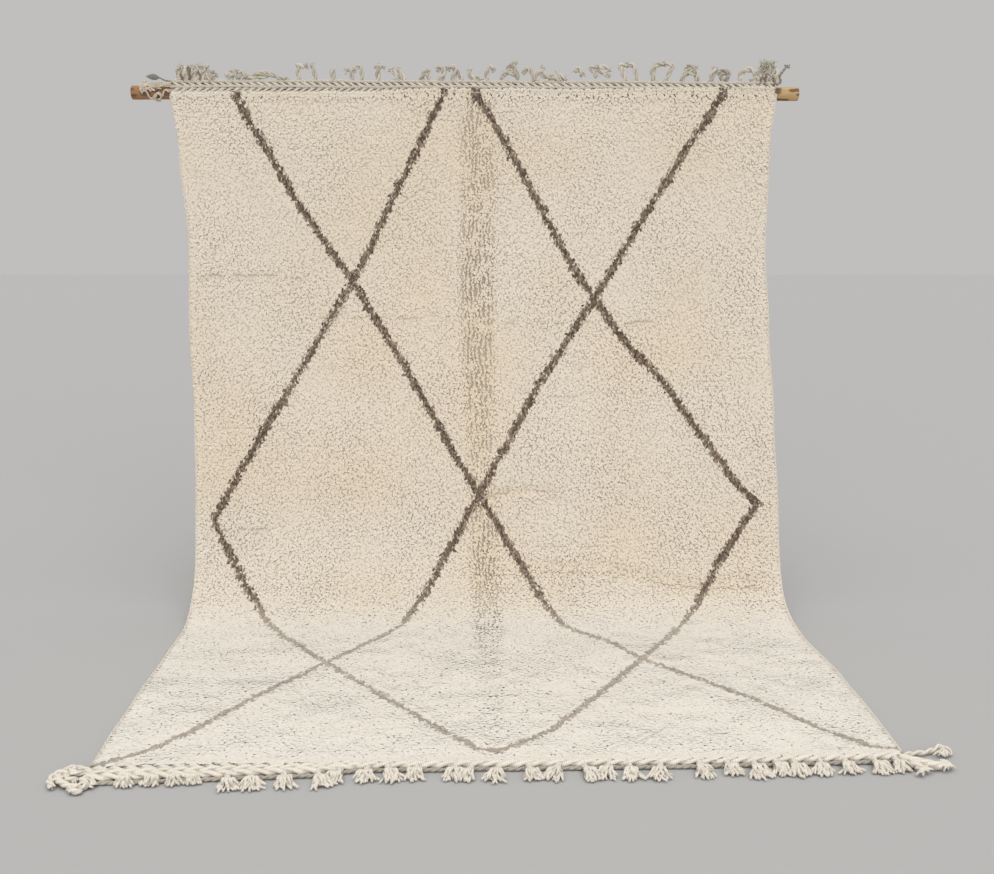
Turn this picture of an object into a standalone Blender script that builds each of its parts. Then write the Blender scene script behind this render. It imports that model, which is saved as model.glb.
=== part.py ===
"""A Beni Ourain rug hung on a wooden pole, with its lower third run out flat over the floor.

Four pieces: the knotted pile field, woven in one with its selvedges, a twined band with its knotted
fringe at each end, and the round pole. Metres, +Z up; the rug faces -Y, and +X is to its right.
A place on the rug is given by how far across it lies from the middle of the lower end, and by how far
down it lies along the cloth from the top of the pile.
"""

import math
from collections import namedtuple

import bmesh
import bpy
import numpy as np
from mathutils import Vector

# ---------------------------------------------------------------- driving dimensions

PILE_LENGTH = 2.85  # the pile field, measured along the cloth
HANG_HEIGHT = 1.738  # the top of the pile over the floor
FOOT_PULL = 0.10  # how far the hanging cloth bellies forward: the scale of its hanging-chain curve
FOOT_ROUND = 0.22  # length of cloth over which it rounds into the floor, to each side of the turn

CLOTH_THICK = 0.020  # ground weave and pile together
LUMP = 0.004  # how uneven the pile stands
PILE_SEED = 11
RIM_LOCK = 0.012  # a lock of pile standing out of the side
RIM_LOCK_TAPER = 0.5
RIM_LOCK_DROOP = 0.4  # at most, of its length

POLE_RADIUS = 0.023
POLE_LEFT = -1.232
POLE_RIGHT = 1.016
POLE_BELOW_TOP = 0.0005  # the pole's foremost line, under the top edge of the pile
POLE_SIDES = 24

BAND_WIDE = 0.050  # the twined band, from the pile to the fringe
BAND_THICK = 0.008
BAND_LEAN_BACK = math.radians(5)  # of the upper band, from the line of the hanging cloth
TWINE_PITCH = 0.031
TWINE_RISE = 0.004
TWINE_SLANT = 0.35  # of a pitch

FRINGE_EVERY = 2  # twining pitches
LOCKS = 3  # in the head of a tassel
NECK = 0.011
KNOT = 0.017
KNOT_FLATNESS = 0.8
LOCK_WIDE = 0.0045  # at its tip
LOCK_TALL = 0.005
TAIL_FAN = 0.7  # how far the locks at a tail's end spread, of the tail's width

SEAT = 0.0003  # between pieces that touch
ACROSS = Vector((1, 0, 0))
A_LITTLE = 0.01  # a step along the cloth, to find its direction

# The fringe at each end: how far out its knots lie, how far its locks reach and fan from there, how far
# they lift off the floor or out of line, and how far the tassels lean, for each metre out
Fringe = namedtuple("Fringe", "knot_at reach fan lift lean pair_lean")
FLOOR_FRINGE = Fringe(0.022, 0.052, 0.014, 0.0, 0.35, 0.0)
UPPER_FRINGE = Fringe(0.028, 0.040, 0.010, 0.004, 0.10, 0.20)

# The rug's sides run a little askew, as it was woven and hung.
Side = namedtuple("Side", "down left right")
SIDES = (
    Side(0.00, -1.086, 0.920),
    Side(0.18, -1.063, 0.904),
    Side(0.52, -1.038, 0.898),
    Side(0.78, -1.041, 0.915),
    Side(1.10, -1.028, 0.937),
    Side(1.38, -1.023, 0.949),
    Side(1.70, -1.011, 0.946),
    Side(1.94, -1.004, 0.962),
    Side(2.33, -0.996, 0.988),
    Side(2.60, -0.987, 0.994),
    Side(2.85, -0.975, 0.994),
)

# The lower end isn't square to the sides: its left corner lies further out on the floor than its right one.
SKEW_FROM = 2.0  # how far down the cloth it begins
SKEW_SLOPE = 0.026  # metres down the cloth for each metre across
SKEW_CURL = 0.020  # more of it towards the corners

# Rows of the mesh: close where the cloth turns and where it is creased.
RowStop = namedtuple("RowStop", "row down")
ROW_STOPS = (
    RowStop(0, 0.00),
    RowStop(1, 0.03),
    RowStop(19, 1.29),
    RowStop(22, 1.41),
    RowStop(25, 1.56),
    RowStop(30, 1.70),
    RowStop(37, 2.00),
    RowStop(47, 2.80),
    RowStop(48, 2.85),
)
SIDE_COLUMNS = 10
FOLD_COLUMNS = 6
FOLD_LEFT = -0.14  # the old lengthwise fold, down the middle of the rug
FOLD_RIGHT = 0.02
FOLD_RISE = 0.005
FOLD_GROOVE = 0.0045
FOLD_ENDS_DOWN = 1.95
FOLD_WIDE = 0.07  # of the ridge in the cloth, to each side

# Shallow waves in the hanging cloth, each so high and of so many radians a metre each way
Wave = namedtuple("Wave", "rise across down start")
CLOTH_WAVES = (Wave(0.004, 4.1, 1.3, 0.0), Wave(0.003, 9.0, 0.0, -0.8))
PILE_WAVES = (Wave(0.4 * LUMP, 21.0, 5.0, 0.0), Wave(0.4 * LUMP, -8.0, 13.0, 0.0))

# Creases across the hanging part, each a wavering line of points
CreasePoint = namedtuple("CreasePoint", "across down")
LONG_CREASE = (
    CreasePoint(0.09, 1.58),
    CreasePoint(0.24, 1.62),
    CreasePoint(0.40, 1.61),
    CreasePoint(0.52, 1.66),
    CreasePoint(0.74, 1.67),
    CreasePoint(0.89, 1.65),
)
SHORT_CREASE = (
    CreasePoint(-0.01, 1.37),
    CreasePoint(0.08, 1.36),
    CreasePoint(0.15, 1.33),
)
CREASE_DEEP = 0.005
CREASE_WIDE = 0.020

Finish = namedtuple("Finish", "colour roughness")
PILE_WOOL = Finish((0.72, 0.63, 0.50, 1.0), 0.9)
TWINED_WOOL = Finish((0.66, 0.61, 0.52, 1.0), 0.9)
BARE_WOOD = Finish((0.42, 0.22, 0.10, 1.0), 0.55)

# ---------------------------------------------------------------- how the cloth hangs


def pull_at(along):
    """Height-wise pull in the cloth at a distance above the turn: none on the floor, then growing."""
    rounded = (along + FOOT_ROUND) ** 2 / (4 * FOOT_ROUND)
    return np.where(along < -FOOT_ROUND, 0.0, np.where(along < FOOT_ROUND, rounded, along))


def running_total(values, step):
    return np.concatenate([[0.0], np.cumsum((values[1:] + values[:-1]) / 2 * step)])


CURVE_STEPS = 3000
ALONG = np.linspace(-FOOT_ROUND, HANG_HEIGHT + 2 * FOOT_ROUND, CURVE_STEPS)
STEEPNESS = np.arctan2(pull_at(ALONG), FOOT_PULL)
HEIGHTS = running_total(np.sin(STEEPNESS), ALONG[1] - ALONG[0])
BACKS = running_total(np.cos(STEEPNESS), ALONG[1] - ALONG[0])
TOP_ALONG = float(np.interp(HANG_HEIGHT, HEIGHTS, ALONG))
TOP_BACK = float(np.interp(TOP_ALONG, ALONG, BACKS))
FLOOR_FROM = TOP_ALONG + FOOT_ROUND  # distance down the cloth at which it lies flat


def cloth_line(down):
    """How far forward of the pole's face the back of the cloth is, its height and its steepness."""
    if down < 0:  # the upper band and its fringe, which stand up from the pile's top edge
        steep = float(np.interp(TOP_ALONG, ALONG, STEEPNESS)) + BAND_LEAN_BACK
        return down * math.cos(steep), HANG_HEIGHT - down * math.sin(steep), steep
    along = TOP_ALONG - down
    if along < -FOOT_ROUND:
        return TOP_BACK - (along + FOOT_ROUND), 0.0, 0.0
    steep = float(np.interp(along, ALONG, STEEPNESS))
    forward = TOP_BACK - float(np.interp(along, ALONG, BACKS))
    return forward, float(np.interp(along, ALONG, HEIGHTS)), steep


def place(across, down, proud=0.0):
    """The point so far across and down the cloth, and so far proud of its back."""
    forward, height, steep = cloth_line(down)
    return Vector(
        (across, -forward - proud * math.sin(steep), height + proud * math.cos(steep))
    )


def eased(at, places, values):
    """Reads a column of a table between its rows, easing in and out of each."""
    row = int(np.clip(np.searchsorted(places, at) - 1, 0, len(places) - 2))
    share = (at - places[row]) / (places[row + 1] - places[row])
    share = min(max(share, 0.0), 1.0)
    share = share * share * (3 - 2 * share)
    return values[row] + (values[row + 1] - values[row]) * share


def skewed(across, down):
    """How far down a place lies once the lower end's skew is added, which fades out up the floor part."""
    share = max((down - SKEW_FROM) / (PILE_LENGTH - SKEW_FROM), 0.0)
    return down - min(share, 1.0) * (SKEW_SLOPE * across + SKEW_CURL * across**3)


def side(name, down):
    return eased(down, [row.down for row in SIDES], [getattr(row, name) for row in SIDES])


# ---------------------------------------------------------------- how uneven the pile is


def hump(distance, wide):
    return math.exp(-((distance / wide) ** 2))


def hang_share(down):
    """1 halfway down the hanging part, 0 at the pole and where the cloth reaches the floor."""
    return math.sin(math.pi * min(max(down / FLOOR_FROM, 0.0), 1.0)) ** 2


def crease_depth(points, across, down):
    first, last = points[0].across, points[-1].across
    line = np.interp(across, [p.across for p in points], [p.down for p in points])
    past_end = max(first - across, across - last, 0.0)
    return CREASE_DEEP * hump(down - float(line), CREASE_WIDE) * hump(past_end, 2 * CREASE_WIDE)


def height_of(waves, across, down):
    return sum(w.rise * math.sin(w.across * across + w.down * down + w.start) for w in waves)


def cloth_wave(across, down):
    """How far the whole cloth bows out of its line: the lengthwise fold and the shallow waves."""
    fold = FOLD_RISE * hump(across - (FOLD_LEFT + FOLD_RIGHT) / 2, FOLD_WIDE)
    return (fold + height_of(CLOTH_WAVES, across, down)) * hang_share(down)


def pile_depth(across, down, column, random):
    """Thickness of weave and pile at a point of the mesh."""
    depth = CLOTH_THICK + LUMP * random.uniform(-1, 1) + height_of(PILE_WAVES, across, down)
    in_fold = SIDE_COLUMNS < column < SIDE_COLUMNS + FOLD_COLUMNS
    if in_fold and column % 2 and down < FOLD_ENDS_DOWN:
        depth -= FOLD_GROOVE * random.uniform(0.5, 1.0)
    for crease in (LONG_CREASE, SHORT_CREASE):
        depth -= crease_depth(crease, across, down)
    return depth


# ---------------------------------------------------------------- making meshes


def make_object(bm, name, finish, collection):
    """Turns the worked shape into a named object with its own material."""
    bmesh.ops.recalc_face_normals(bm, faces=bm.faces)
    mesh = bpy.data.meshes.new(name)
    bm.to_mesh(mesh)
    bm.free()
    material = bpy.data.materials.new(name)
    material.use_nodes = True
    shader = material.node_tree.nodes["Principled BSDF"]
    shader.inputs["Base Color"].default_value = finish.colour
    shader.inputs["Roughness"].default_value = finish.roughness
    shader.inputs["Metallic"].default_value = 0.0
    mesh.materials.append(material)
    obj = bpy.data.objects.new(name, mesh)
    collection.objects.link(obj)
    return obj


def carry_on(bm, face, centre, wide, tall, along_wide, along_tall):
    """Extrudes a four-sided face to a new centre and size, and returns the new end face."""
    face = bmesh.ops.extrude_discrete_faces(bm, faces=[face])["faces"][0]
    middle = face.calc_center_median()
    for vert in face.verts:
        offset = vert.co - middle
        beside = math.copysign(wide / 2, offset.dot(along_wide))
        above = math.copysign(tall / 2, offset.dot(along_tall))
        vert.co = centre + along_wide * beside + along_tall * above
    return face


def split(bm, face, along_wide, parts):
    """Cuts a four-sided face into a row of narrower ones, and returns them from low to high."""
    def unlike(edge):
        return -abs((edge.verts[1].co - edge.verts[0].co).normalized().dot(along_wide))

    cut = bmesh.ops.subdivide_edges(bm, edges=sorted(face.edges, key=unlike)[:2], cuts=parts - 1)
    crossing = [e for e in cut["geom_inner"] if isinstance(e, bmesh.types.BMEdge)]
    pieces = {f for e in crossing for f in e.link_faces}
    return sorted(pieces, key=lambda f: f.calc_center_median().dot(along_wide))


def thicken(bm):
    """Draws a flat grid out into a slab, and returns the points of its front."""
    made = bmesh.ops.extrude_face_region(bm, geom=list(bm.faces), use_keep_orig=True)
    return {v for v in made["geom"] if isinstance(v, bmesh.types.BMVert)}


def numbered_grid(columns, rows):
    """A flat grid whose points know their column and row."""
    bm = bmesh.new()
    bmesh.ops.create_grid(bm, x_segments=columns, y_segments=rows, size=1.0)
    column_of = bm.verts.layers.int.new("column")
    row_of = bm.verts.layers.int.new("row")
    for vert in bm.verts:
        vert[column_of] = round((vert.co.x + 1) / 2 * columns)
        vert[row_of] = round((vert.co.y + 1) / 2 * rows)
    return bm, column_of, row_of


# ---------------------------------------------------------------- the field


def column_across(column, down):
    """Where a column of the mesh lies: evenly spaced to each side, close over the fold."""
    columns = [0, SIDE_COLUMNS, SIDE_COLUMNS + FOLD_COLUMNS, 2 * SIDE_COLUMNS + FOLD_COLUMNS]
    lines = [side("left", down), FOLD_LEFT, FOLD_RIGHT, side("right", down)]
    return float(np.interp(column, columns, lines))


def rug_field(collection):
    columns = 2 * SIDE_COLUMNS + FOLD_COLUMNS
    random = np.random.default_rng(PILE_SEED)
    bm, column_of, row_of = numbered_grid(columns, ROW_STOPS[-1].row)
    front = thicken(bm)
    for vert in bm.verts:
        down = float(np.interp(vert[row_of], [s.row for s in ROW_STOPS], [s.down for s in ROW_STOPS]))
        across = column_across(vert[column_of], down)
        proud = cloth_wave(across, down)
        if vert in front:
            proud += pile_depth(across, down, vert[column_of], random)
        vert.co = place(across, skewed(across, down), proud)
    bmesh.ops.recalc_face_normals(bm, faces=bm.faces)
    for column in (0, columns):
        rim = [f for f in bm.faces if all(v[column_of] == column for v in f.verts)]
        out = ACROSS if column else -ACROSS
        for face in sorted(rim, key=lambda f: min(v[row_of] for v in f.verts)):
            rim_lock(bm, face, out, random)
    return make_object(bm, "rug_field", PILE_WOOL, collection)


def rim_lock(bm, face, out, random):
    """A lock of pile standing out of the middle of a stretch of the selvedge, and drooping a little."""
    reach = RIM_LOCK * random.uniform(0.5, 1.0)
    droop = RIM_LOCK * random.uniform(0.0, RIM_LOCK_DROOP)
    long_edge = max(face.edges, key=lambda e: e.calc_length())
    downwards = long_edge.verts[1].co - long_edge.verts[0].co
    downwards *= math.copysign(1 / downwards.length, downwards.dot(Vector((0, -1, -1))))
    middle_third = split(bm, face, downwards, 3)[1]
    middle = middle_third.calc_center_median()
    end = bmesh.ops.extrude_discrete_faces(bm, faces=[middle_third])["faces"][0]
    for vert in end.verts:
        vert.co = middle + (vert.co - middle) * RIM_LOCK_TAPER + out * reach + downwards * droop


# ---------------------------------------------------------------- the twined bands and their fringe

# A section of a tail or a tassel: how far beyond the end of the band, or out from its edge, and its size
Section = namedtuple("Section", "beyond out proud wide tall")
LEFT_CLUSTER = (
    Section(0.018, 0.040, 0.009, 0.026, 0.018),
    Section(0.040, 0.054, 0.014, 0.052, 0.028),
    Section(0.066, 0.062, 0.014, 0.056, 0.028),
    Section(0.084, 0.064, 0.009, 0.040, 0.018),
)
RIGHT_THIN_TAIL = (
    Section(0.030, 0.006, 0.007, 0.013, 0.013),
    Section(0.085, -0.004, 0.006, 0.012, 0.012),
    Section(0.108, -0.010, 0.009, 0.022, 0.018),
    Section(0.126, -0.012, 0.005, 0.010, 0.010),
)
RIGHT_THICK_TAIL = (
    Section(0.022, 0.044, 0.009, 0.026, 0.018),
    Section(0.055, 0.052, 0.010, 0.030, 0.020),
    Section(0.082, 0.052, 0.009, 0.026, 0.018),
)
PLAIT_OVER_POLE = (
    Section(0.024, 0.014, 0.009, 0.016, 0.014),
    Section(0.052, 0.000, 0.009, 0.018, 0.016),
    Section(0.078, -0.014, 0.009, 0.016, 0.014),
)
GREY_TUFT = (
    Section(0.022, 0.042, 0.007, 0.010, 0.010),
    Section(0.050, 0.050, 0.008, 0.020, 0.014),
    Section(0.078, 0.048, 0.007, 0.008, 0.008),
)
CORNER_STRAND = (
    Section(0.024, 0.054, 0.006, 0.010, 0.009),
    Section(0.044, 0.068, 0.006, 0.008, 0.008),
    Section(0.060, 0.084, 0.006, 0.006, 0.006),
)


class EndBand:
    """A twined band beyond one end of the pile, with its fringe."""

    def __init__(self, edge_down, way, seed):
        self.edge_down = edge_down
        self.way = way  # 1 where the band runs on down the cloth, -1 where it stands up
        self.random = np.random.default_rng(seed)
        self.ends = {-1: side("left", edge_down), 1: side("right", edge_down)}
        self.cells = round((self.ends[1] - self.ends[-1]) / TWINE_PITCH)
        self.gap = SEAT + (BAND_THICK * math.sin(BAND_LEAN_BACK) if way < 0 else 0.0)
        self.twined_strip()

    def at(self, across, out, proud):
        """The point so far out beyond the pile's edge, and so far proud of the back."""
        return place(across, skewed(across, self.edge_down + self.way * (self.gap + out)), proud)

    def ways(self, out):
        """Outwards along the cloth, and off its back, at a distance out."""
        here = self.at(0, out, 0)
        outward = self.at(0, out + A_LITTLE, 0) - here
        off = self.at(0, out, A_LITTLE) - here
        return outward.normalized(), off.normalized()

    def twined_strip(self):
        """The strip itself: two rows of slanting twined cells, raised on its face."""
        self.bm, column_of, row_of = numbered_grid(self.cells, 2)
        front = thicken(self.bm)
        pitch = (self.ends[1] - self.ends[-1]) / self.cells
        for vert in self.bm.verts:
            cell, row = vert[column_of], vert[row_of]
            slant = TWINE_SLANT * pitch if row == 1 and 0 < cell < self.cells else 0.0
            across = self.ends[-1] + cell * pitch + slant
            vert.co = self.at(across, BAND_WIDE * row / 2, BAND_THICK if vert in front else 0.0)
        faces = sorted(self.bm.faces, key=lambda f: f.calc_center_median().x)
        self.edge = [f for f in faces if all(v[row_of] == 2 for v in f.verts)]
        self.end_faces = {
            beyond: [f for f in faces if all(v[column_of] == column for v in f.verts)]
            for beyond, column in ((-1, 0), (1, self.cells))
        }
        cells = [f for f in faces if all(v in front for v in f.verts)]
        off = self.ways(BAND_WIDE / 2)[1]
        for vert in bmesh.ops.poke(self.bm, faces=cells)["verts"]:
            vert.co += off * TWINE_RISE * self.random.uniform(0.7, 1.1)
        bmesh.ops.recalc_face_normals(self.bm, faces=self.bm.faces)

    def tassels(self, fringe):
        """Knotted tassels: the warps drawn to a neck, a knot, and a head that falls into locks."""
        for number, face in enumerate(self.edge[1::FRINGE_EVERY]):
            towards_next = -1 if number % 2 else 1
            lean = fringe.pair_lean * towards_next + self.random.uniform(-fringe.lean, fringe.lean)
            start = face.calc_center_median().x
            neck = (0.5 * fringe.knot_at, NECK, NECK)
            knot = (fringe.knot_at, KNOT, KNOT * KNOT_FLATNESS)
            for out, wide, tall in (neck, knot):
                centre = self.at(start + lean * out, BAND_WIDE + out, tall / 2)
                face = carry_on(self.bm, face, centre, wide, tall, ACROSS, self.ways(out)[1])
            for turn, lock in enumerate(split(self.bm, face, ACROSS, LOCKS)):
                out = fringe.knot_at + fringe.reach * self.random.uniform(0.75, 1.0)
                across = start + lean * out + (turn - (LOCKS - 1) / 2) * fringe.fan
                proud = LOCK_TALL / 2 + fringe.lift * self.random.uniform(0.0, 1.0)
                centre = self.at(across, BAND_WIDE + out, proud)
                carry_on(self.bm, lock, centre, LOCK_WIDE, LOCK_TALL, ACROSS, self.ways(out)[1])

    def tail(self, end, number, sections, locks=0, reach=0.0):
        """A loose tail carried on from one of the faces at an end of the band, through its sections."""
        face = self.end_faces[end][number]
        for part in sections:
            outward, off = self.ways(part.out)
            centre = self.at(self.ends[end] + end * part.beyond, part.out, part.proud)
            face = carry_on(self.bm, face, centre, part.wide, part.tall, outward, off)
        if not locks:
            return
        last = sections[-1]
        outward, off = self.ways(last.out)
        for number, lock in enumerate(split(self.bm, face, outward, locks)):
            fan = (number - (locks - 1) / 2) * last.wide * TAIL_FAN
            beyond = last.beyond + reach * self.random.uniform(0.8, 1.0)
            proud = min(last.proud, LOCK_TALL / 2) if self.way > 0 else last.proud
            centre = self.at(self.ends[end] + end * beyond, last.out + fan, proud)
            carry_on(self.bm, lock, centre, LOCK_WIDE, LOCK_TALL, outward, off)


def end_band_floor(collection):
    band = EndBand(edge_down=PILE_LENGTH, way=1, seed=5)
    band.tassels(FLOOR_FRINGE)
    band.tail(-1, 1, LEFT_CLUSTER, locks=3, reach=0.022)
    band.tail(1, 0, RIGHT_THIN_TAIL)
    band.tail(1, 1, RIGHT_THICK_TAIL, locks=3, reach=0.034)
    return make_object(band.bm, "end_band_floor", TWINED_WOOL, collection)


def end_band_top(collection):
    band = EndBand(edge_down=0.0, way=-1, seed=7)
    band.tassels(UPPER_FRINGE)
    band.tail(-1, 0, PLAIT_OVER_POLE, locks=2, reach=0.014)
    band.tail(-1, 1, GREY_TUFT)
    band.tail(1, 1, CORNER_STRAND)
    return make_object(band.bm, "end_band_top", TWINED_WOOL, collection)


# ---------------------------------------------------------------- the pole


def pole(collection):
    """A plain round pole whose foremost line seats against the back of the cloth."""
    bm = bmesh.new()
    bmesh.ops.create_cone(
        bm,
        cap_ends=True,
        segments=POLE_SIDES,
        radius1=POLE_RADIUS,
        radius2=POLE_RADIUS,
        depth=POLE_RIGHT - POLE_LEFT,
    )
    obj = make_object(bm, "pole", BARE_WOOD, collection)
    middle = (POLE_LEFT + POLE_RIGHT) / 2
    obj.location = place(middle, POLE_BELOW_TOP, -(POLE_RADIUS + SEAT))
    obj.rotation_euler = (0.0, math.radians(90), 0.0)
    return obj


# ---------------------------------------------------------------- the whole


def stand_over_origin(parts, collection):
    """Parents the pieces to an empty that brings the middle of the whole box's base to the origin."""
    bpy.context.view_layer.update()
    points = np.array([p.matrix_world @ v.co for p in parts for v in p.data.vertices])
    middle = (points.min(axis=0) + points.max(axis=0)) / 2
    carrier = bpy.data.objects.new("rug_on_pole", None)
    carrier.location = (-middle[0], -middle[1], 0.0)
    collection.objects.link(carrier)
    for part in parts:
        part.parent = carrier


for left_over in list(bpy.data.objects):
    bpy.data.objects.remove(left_over)
collection = bpy.data.collections.new("beni_ourain_rug_on_pole")
bpy.context.scene.collection.children.link(collection)
parts = [make(collection) for make in (rug_field, end_band_top, end_band_floor, pole)]
stand_over_origin(parts, collection)
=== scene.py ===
import math
from collections import namedtuple

import bpy
import numpy as np
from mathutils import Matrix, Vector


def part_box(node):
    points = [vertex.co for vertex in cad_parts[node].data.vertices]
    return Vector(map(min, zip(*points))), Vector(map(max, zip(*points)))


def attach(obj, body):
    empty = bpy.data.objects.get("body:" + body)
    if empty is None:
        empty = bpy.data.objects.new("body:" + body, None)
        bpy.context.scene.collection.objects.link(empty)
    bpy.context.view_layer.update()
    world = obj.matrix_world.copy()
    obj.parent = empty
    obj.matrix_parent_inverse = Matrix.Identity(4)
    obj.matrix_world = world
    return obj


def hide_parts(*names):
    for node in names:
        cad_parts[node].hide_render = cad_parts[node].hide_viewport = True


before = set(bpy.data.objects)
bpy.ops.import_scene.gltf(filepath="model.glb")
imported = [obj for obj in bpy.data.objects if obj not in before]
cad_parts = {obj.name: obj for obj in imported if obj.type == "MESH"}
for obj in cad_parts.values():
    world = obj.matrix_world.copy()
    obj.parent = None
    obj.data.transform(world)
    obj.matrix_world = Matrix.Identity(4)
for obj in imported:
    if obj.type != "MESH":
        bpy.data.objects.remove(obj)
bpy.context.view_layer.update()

# ---------------------------------------------------------------- the ground weave
# One woollen cloth, 2 m wide, into which the pile is knotted row by row. It hangs by its upper end from
# the pole, rounds into the floor and lies flat there. Each row of knots shows on its back as a rib.

PILE_LENGTH = 2.85  # along the cloth, from the upper twined edge to the lower one
UPPER_WEAVE = 0.032  # plain weave beyond the pile, under the twining
LOWER_WEAVE = 0.040
HANG_HEIGHT = 1.738  # of the pile's upper end over the floor
FOOT_PULL = 0.10  # the less it is, the more upright the cloth hangs
FOOT_ROUND = 0.22  # how far above and below its middle the turn to the floor reaches
LEAN_BACK = math.radians(5)  # of the upper edge, which stands up by itself
GROUND_THICK = 0.011  # with the dense roots of the pile
EDGE_THICK = 0.003  # of the plain weave under the twining
END_EASE = 0.03  # from the pile's end to the full thickness
POLE_RADIUS = 0.023
POLE_LEFT = -1.232
POLE_BELOW_TOP = 0.0005  # how far below the pile's upper end the pole's middle touches
SEAT = 0.0003  # left free between two things that rest on each other
ROW_PITCH = 0.0085  # from one row of knots to the next
KNOTS_IN_ROW = 296

# Where the cloth's two sides lie, by how far down the cloth
Side = namedtuple("Side", "down left right")
SIDES = (
    Side(0.00, -1.092, 0.932),
    Side(0.18, -1.067, 0.914),
    Side(0.52, -1.042, 0.907),
    Side(0.78, -1.045, 0.924),
    Side(1.10, -1.032, 0.945),
    Side(1.38, -1.027, 0.957),
    Side(1.70, -1.015, 0.954),
    Side(1.94, -1.008, 0.970),
    Side(2.33, -1.000, 0.996),
    Side(2.60, -0.991, 1.002),
    Side(2.85, -0.979, 1.002),
)
SKEW_FROM = 2.0  # how far down the lower end's skew begins: its left corner lies further out on the floor
SKEW_SLOPE = 0.026
SKEW_CURL = 0.020
Wave = namedtuple("Wave", "rise across down start")
CLOTH_WAVES = (Wave(0.004, 4.1, 1.3, 0.0), Wave(0.003, 9.0, 0.0, -0.8))
FOLD_MIDDLE = -0.06
FOLD_RISE = 0.005
FOLD_WIDE = 0.07
CURVE_POINTS = 3000  # at which the hanging curve is worked out


def running_total(values, step):
    """The area under a curve up to each of its points."""
    return np.concatenate([[0.0], np.cumsum((values[1:] + values[:-1]) / 2 * step)])


# The curve that the cloth hangs in, by the distance along it from the middle of its turn to the floor
ALONG = np.linspace(-FOOT_ROUND, HANG_HEIGHT + 2 * FOOT_ROUND, CURVE_POINTS)
PULL = np.where(ALONG < FOOT_ROUND, (ALONG + FOOT_ROUND) ** 2 / (4 * FOOT_ROUND), ALONG)
STEEPNESS = np.arctan2(PULL, FOOT_PULL)
HEIGHTS = running_total(np.sin(STEEPNESS), ALONG[1] - ALONG[0])
BACKS = running_total(np.cos(STEEPNESS), ALONG[1] - ALONG[0])
TOP_ALONG = np.interp(HANG_HEIGHT, HEIGHTS, ALONG)
FLOOR_FROM = TOP_ALONG + FOOT_ROUND


def hang(down):
    """How far forward the cloth's back is, its height and its steepness, so far down the cloth."""
    along = TOP_ALONG - down
    stands = np.interp(TOP_ALONG, ALONG, STEEPNESS) + LEAN_BACK
    on_floor = np.maximum(-FOOT_ROUND - along, 0.0)
    forward = np.interp(TOP_ALONG, ALONG, BACKS) - np.interp(along, ALONG, BACKS) + on_floor
    forward = np.where(down < 0, down * np.cos(stands), forward)
    height = np.where(down < 0, HANG_HEIGHT - down * np.sin(stands), np.interp(along, ALONG, HEIGHTS))
    steep = np.where(down < 0, stands, np.interp(along, ALONG, STEEPNESS))
    return forward, height, steep


def off_cloth(down):
    """The direction that stands off the cloth, towards the pile's side."""
    steep = hang(down)[2]
    return np.stack([0 * steep, -np.sin(steep), np.cos(steep)], axis=-1)


def down_cloth(down):
    """The direction that runs down the cloth, towards its lower end."""
    steep = hang(down)[2]
    return np.stack([0 * steep, -np.cos(steep), -np.sin(steep)], axis=-1)


# The rug is placed by the pole: how far its own measures lie from the frame's
pole_low, pole_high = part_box("pole")
STAND_X = pole_low.x - POLE_LEFT
pole_seat = hang(POLE_BELOW_TOP)
STAND_Y = (pole_low.y + pole_high.y) / 2 + pole_seat[0] - (POLE_RADIUS + SEAT) * np.sin(pole_seat[2])


def place(across, down, proud=0.0):
    """Points so far across and down the cloth, and so far proud of its back."""
    across, down, proud = np.broadcast_arrays(*(np.asarray(v, float) for v in (across, down, proud)))
    forward, height, steep = hang(down)
    y = STAND_Y - forward - proud * np.sin(steep)
    return np.stack([across + STAND_X, y, height + proud * np.cos(steep)], axis=-1)


def skewed(across, down):
    """How far down a place lies once the lower end's skew is added, which fades out up the floor part."""
    share = np.clip((down - SKEW_FROM) / (PILE_LENGTH - SKEW_FROM), 0.0, 1.0)
    return down - share * (SKEW_SLOPE * across + SKEW_CURL * across**3)


def smooth_step(share):
    """0 below a share of 0, 1 above a share of 1, and eased between."""
    share = np.clip(share, 0.0, 1.0)
    return share * share * (3 - 2 * share)


def eased(at, places, values):
    """Reads a table between its rows, easing in and out of each."""
    row = np.clip(np.searchsorted(places, at) - 1, 0, len(places) - 2)
    places, values = np.array(places), np.array(values)
    share = smooth_step((at - places[row]) / (places[row + 1] - places[row]))
    return values[row] + (values[row + 1] - values[row]) * share


def edge_of(name, down):
    """Where the cloth's left or right side lies, so far down."""
    return eased(down, [row.down for row in SIDES], [getattr(row, name) for row in SIDES])


def hump(distance, wide):
    """1 at no distance, fading away over about the width given."""
    return np.exp(-((distance / wide) ** 2))


def cloth_wave(across, down):
    """How far the whole cloth bows out of its line: the old lengthwise fold and two shallow waves."""
    bow = FOLD_RISE * hump(across - FOLD_MIDDLE, FOLD_WIDE)
    for wave in CLOTH_WAVES:
        bow = bow + wave.rise * np.sin(wave.across * across + wave.down * down + wave.start)
    return bow * np.sin(np.pi * np.clip(down / FLOOR_FROM, 0, 1)) ** 2


# Creases that the hanging cloth took as it rounded towards the floor, each a wavering line
Turn = namedtuple("Turn", "across down")
LONG_CREASE = (
    Turn(0.09, 1.590), Turn(0.21, 1.600), Turn(0.42, 1.606), Turn(0.54, 1.640), Turn(0.70, 1.662),
    Turn(0.88, 1.650),
)
SHORT_CREASE = (Turn(-0.06, 1.372), Turn(0.02, 1.352), Turn(0.17, 1.338))
CREASES = (LONG_CREASE, SHORT_CREASE)
CREASE_DEEP = 0.005
CREASE_WIDE = 0.020


def off_crease(points, across, down):
    """How far below a crease each place lies, and how much of the crease reaches there."""
    line = np.interp(across, [p.across for p in points], [p.down for p in points])
    past = np.maximum(points[0].across - across, across - points[-1].across)
    return down - line, hump(np.maximum(past, 0), 2 * CREASE_WIDE)


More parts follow.
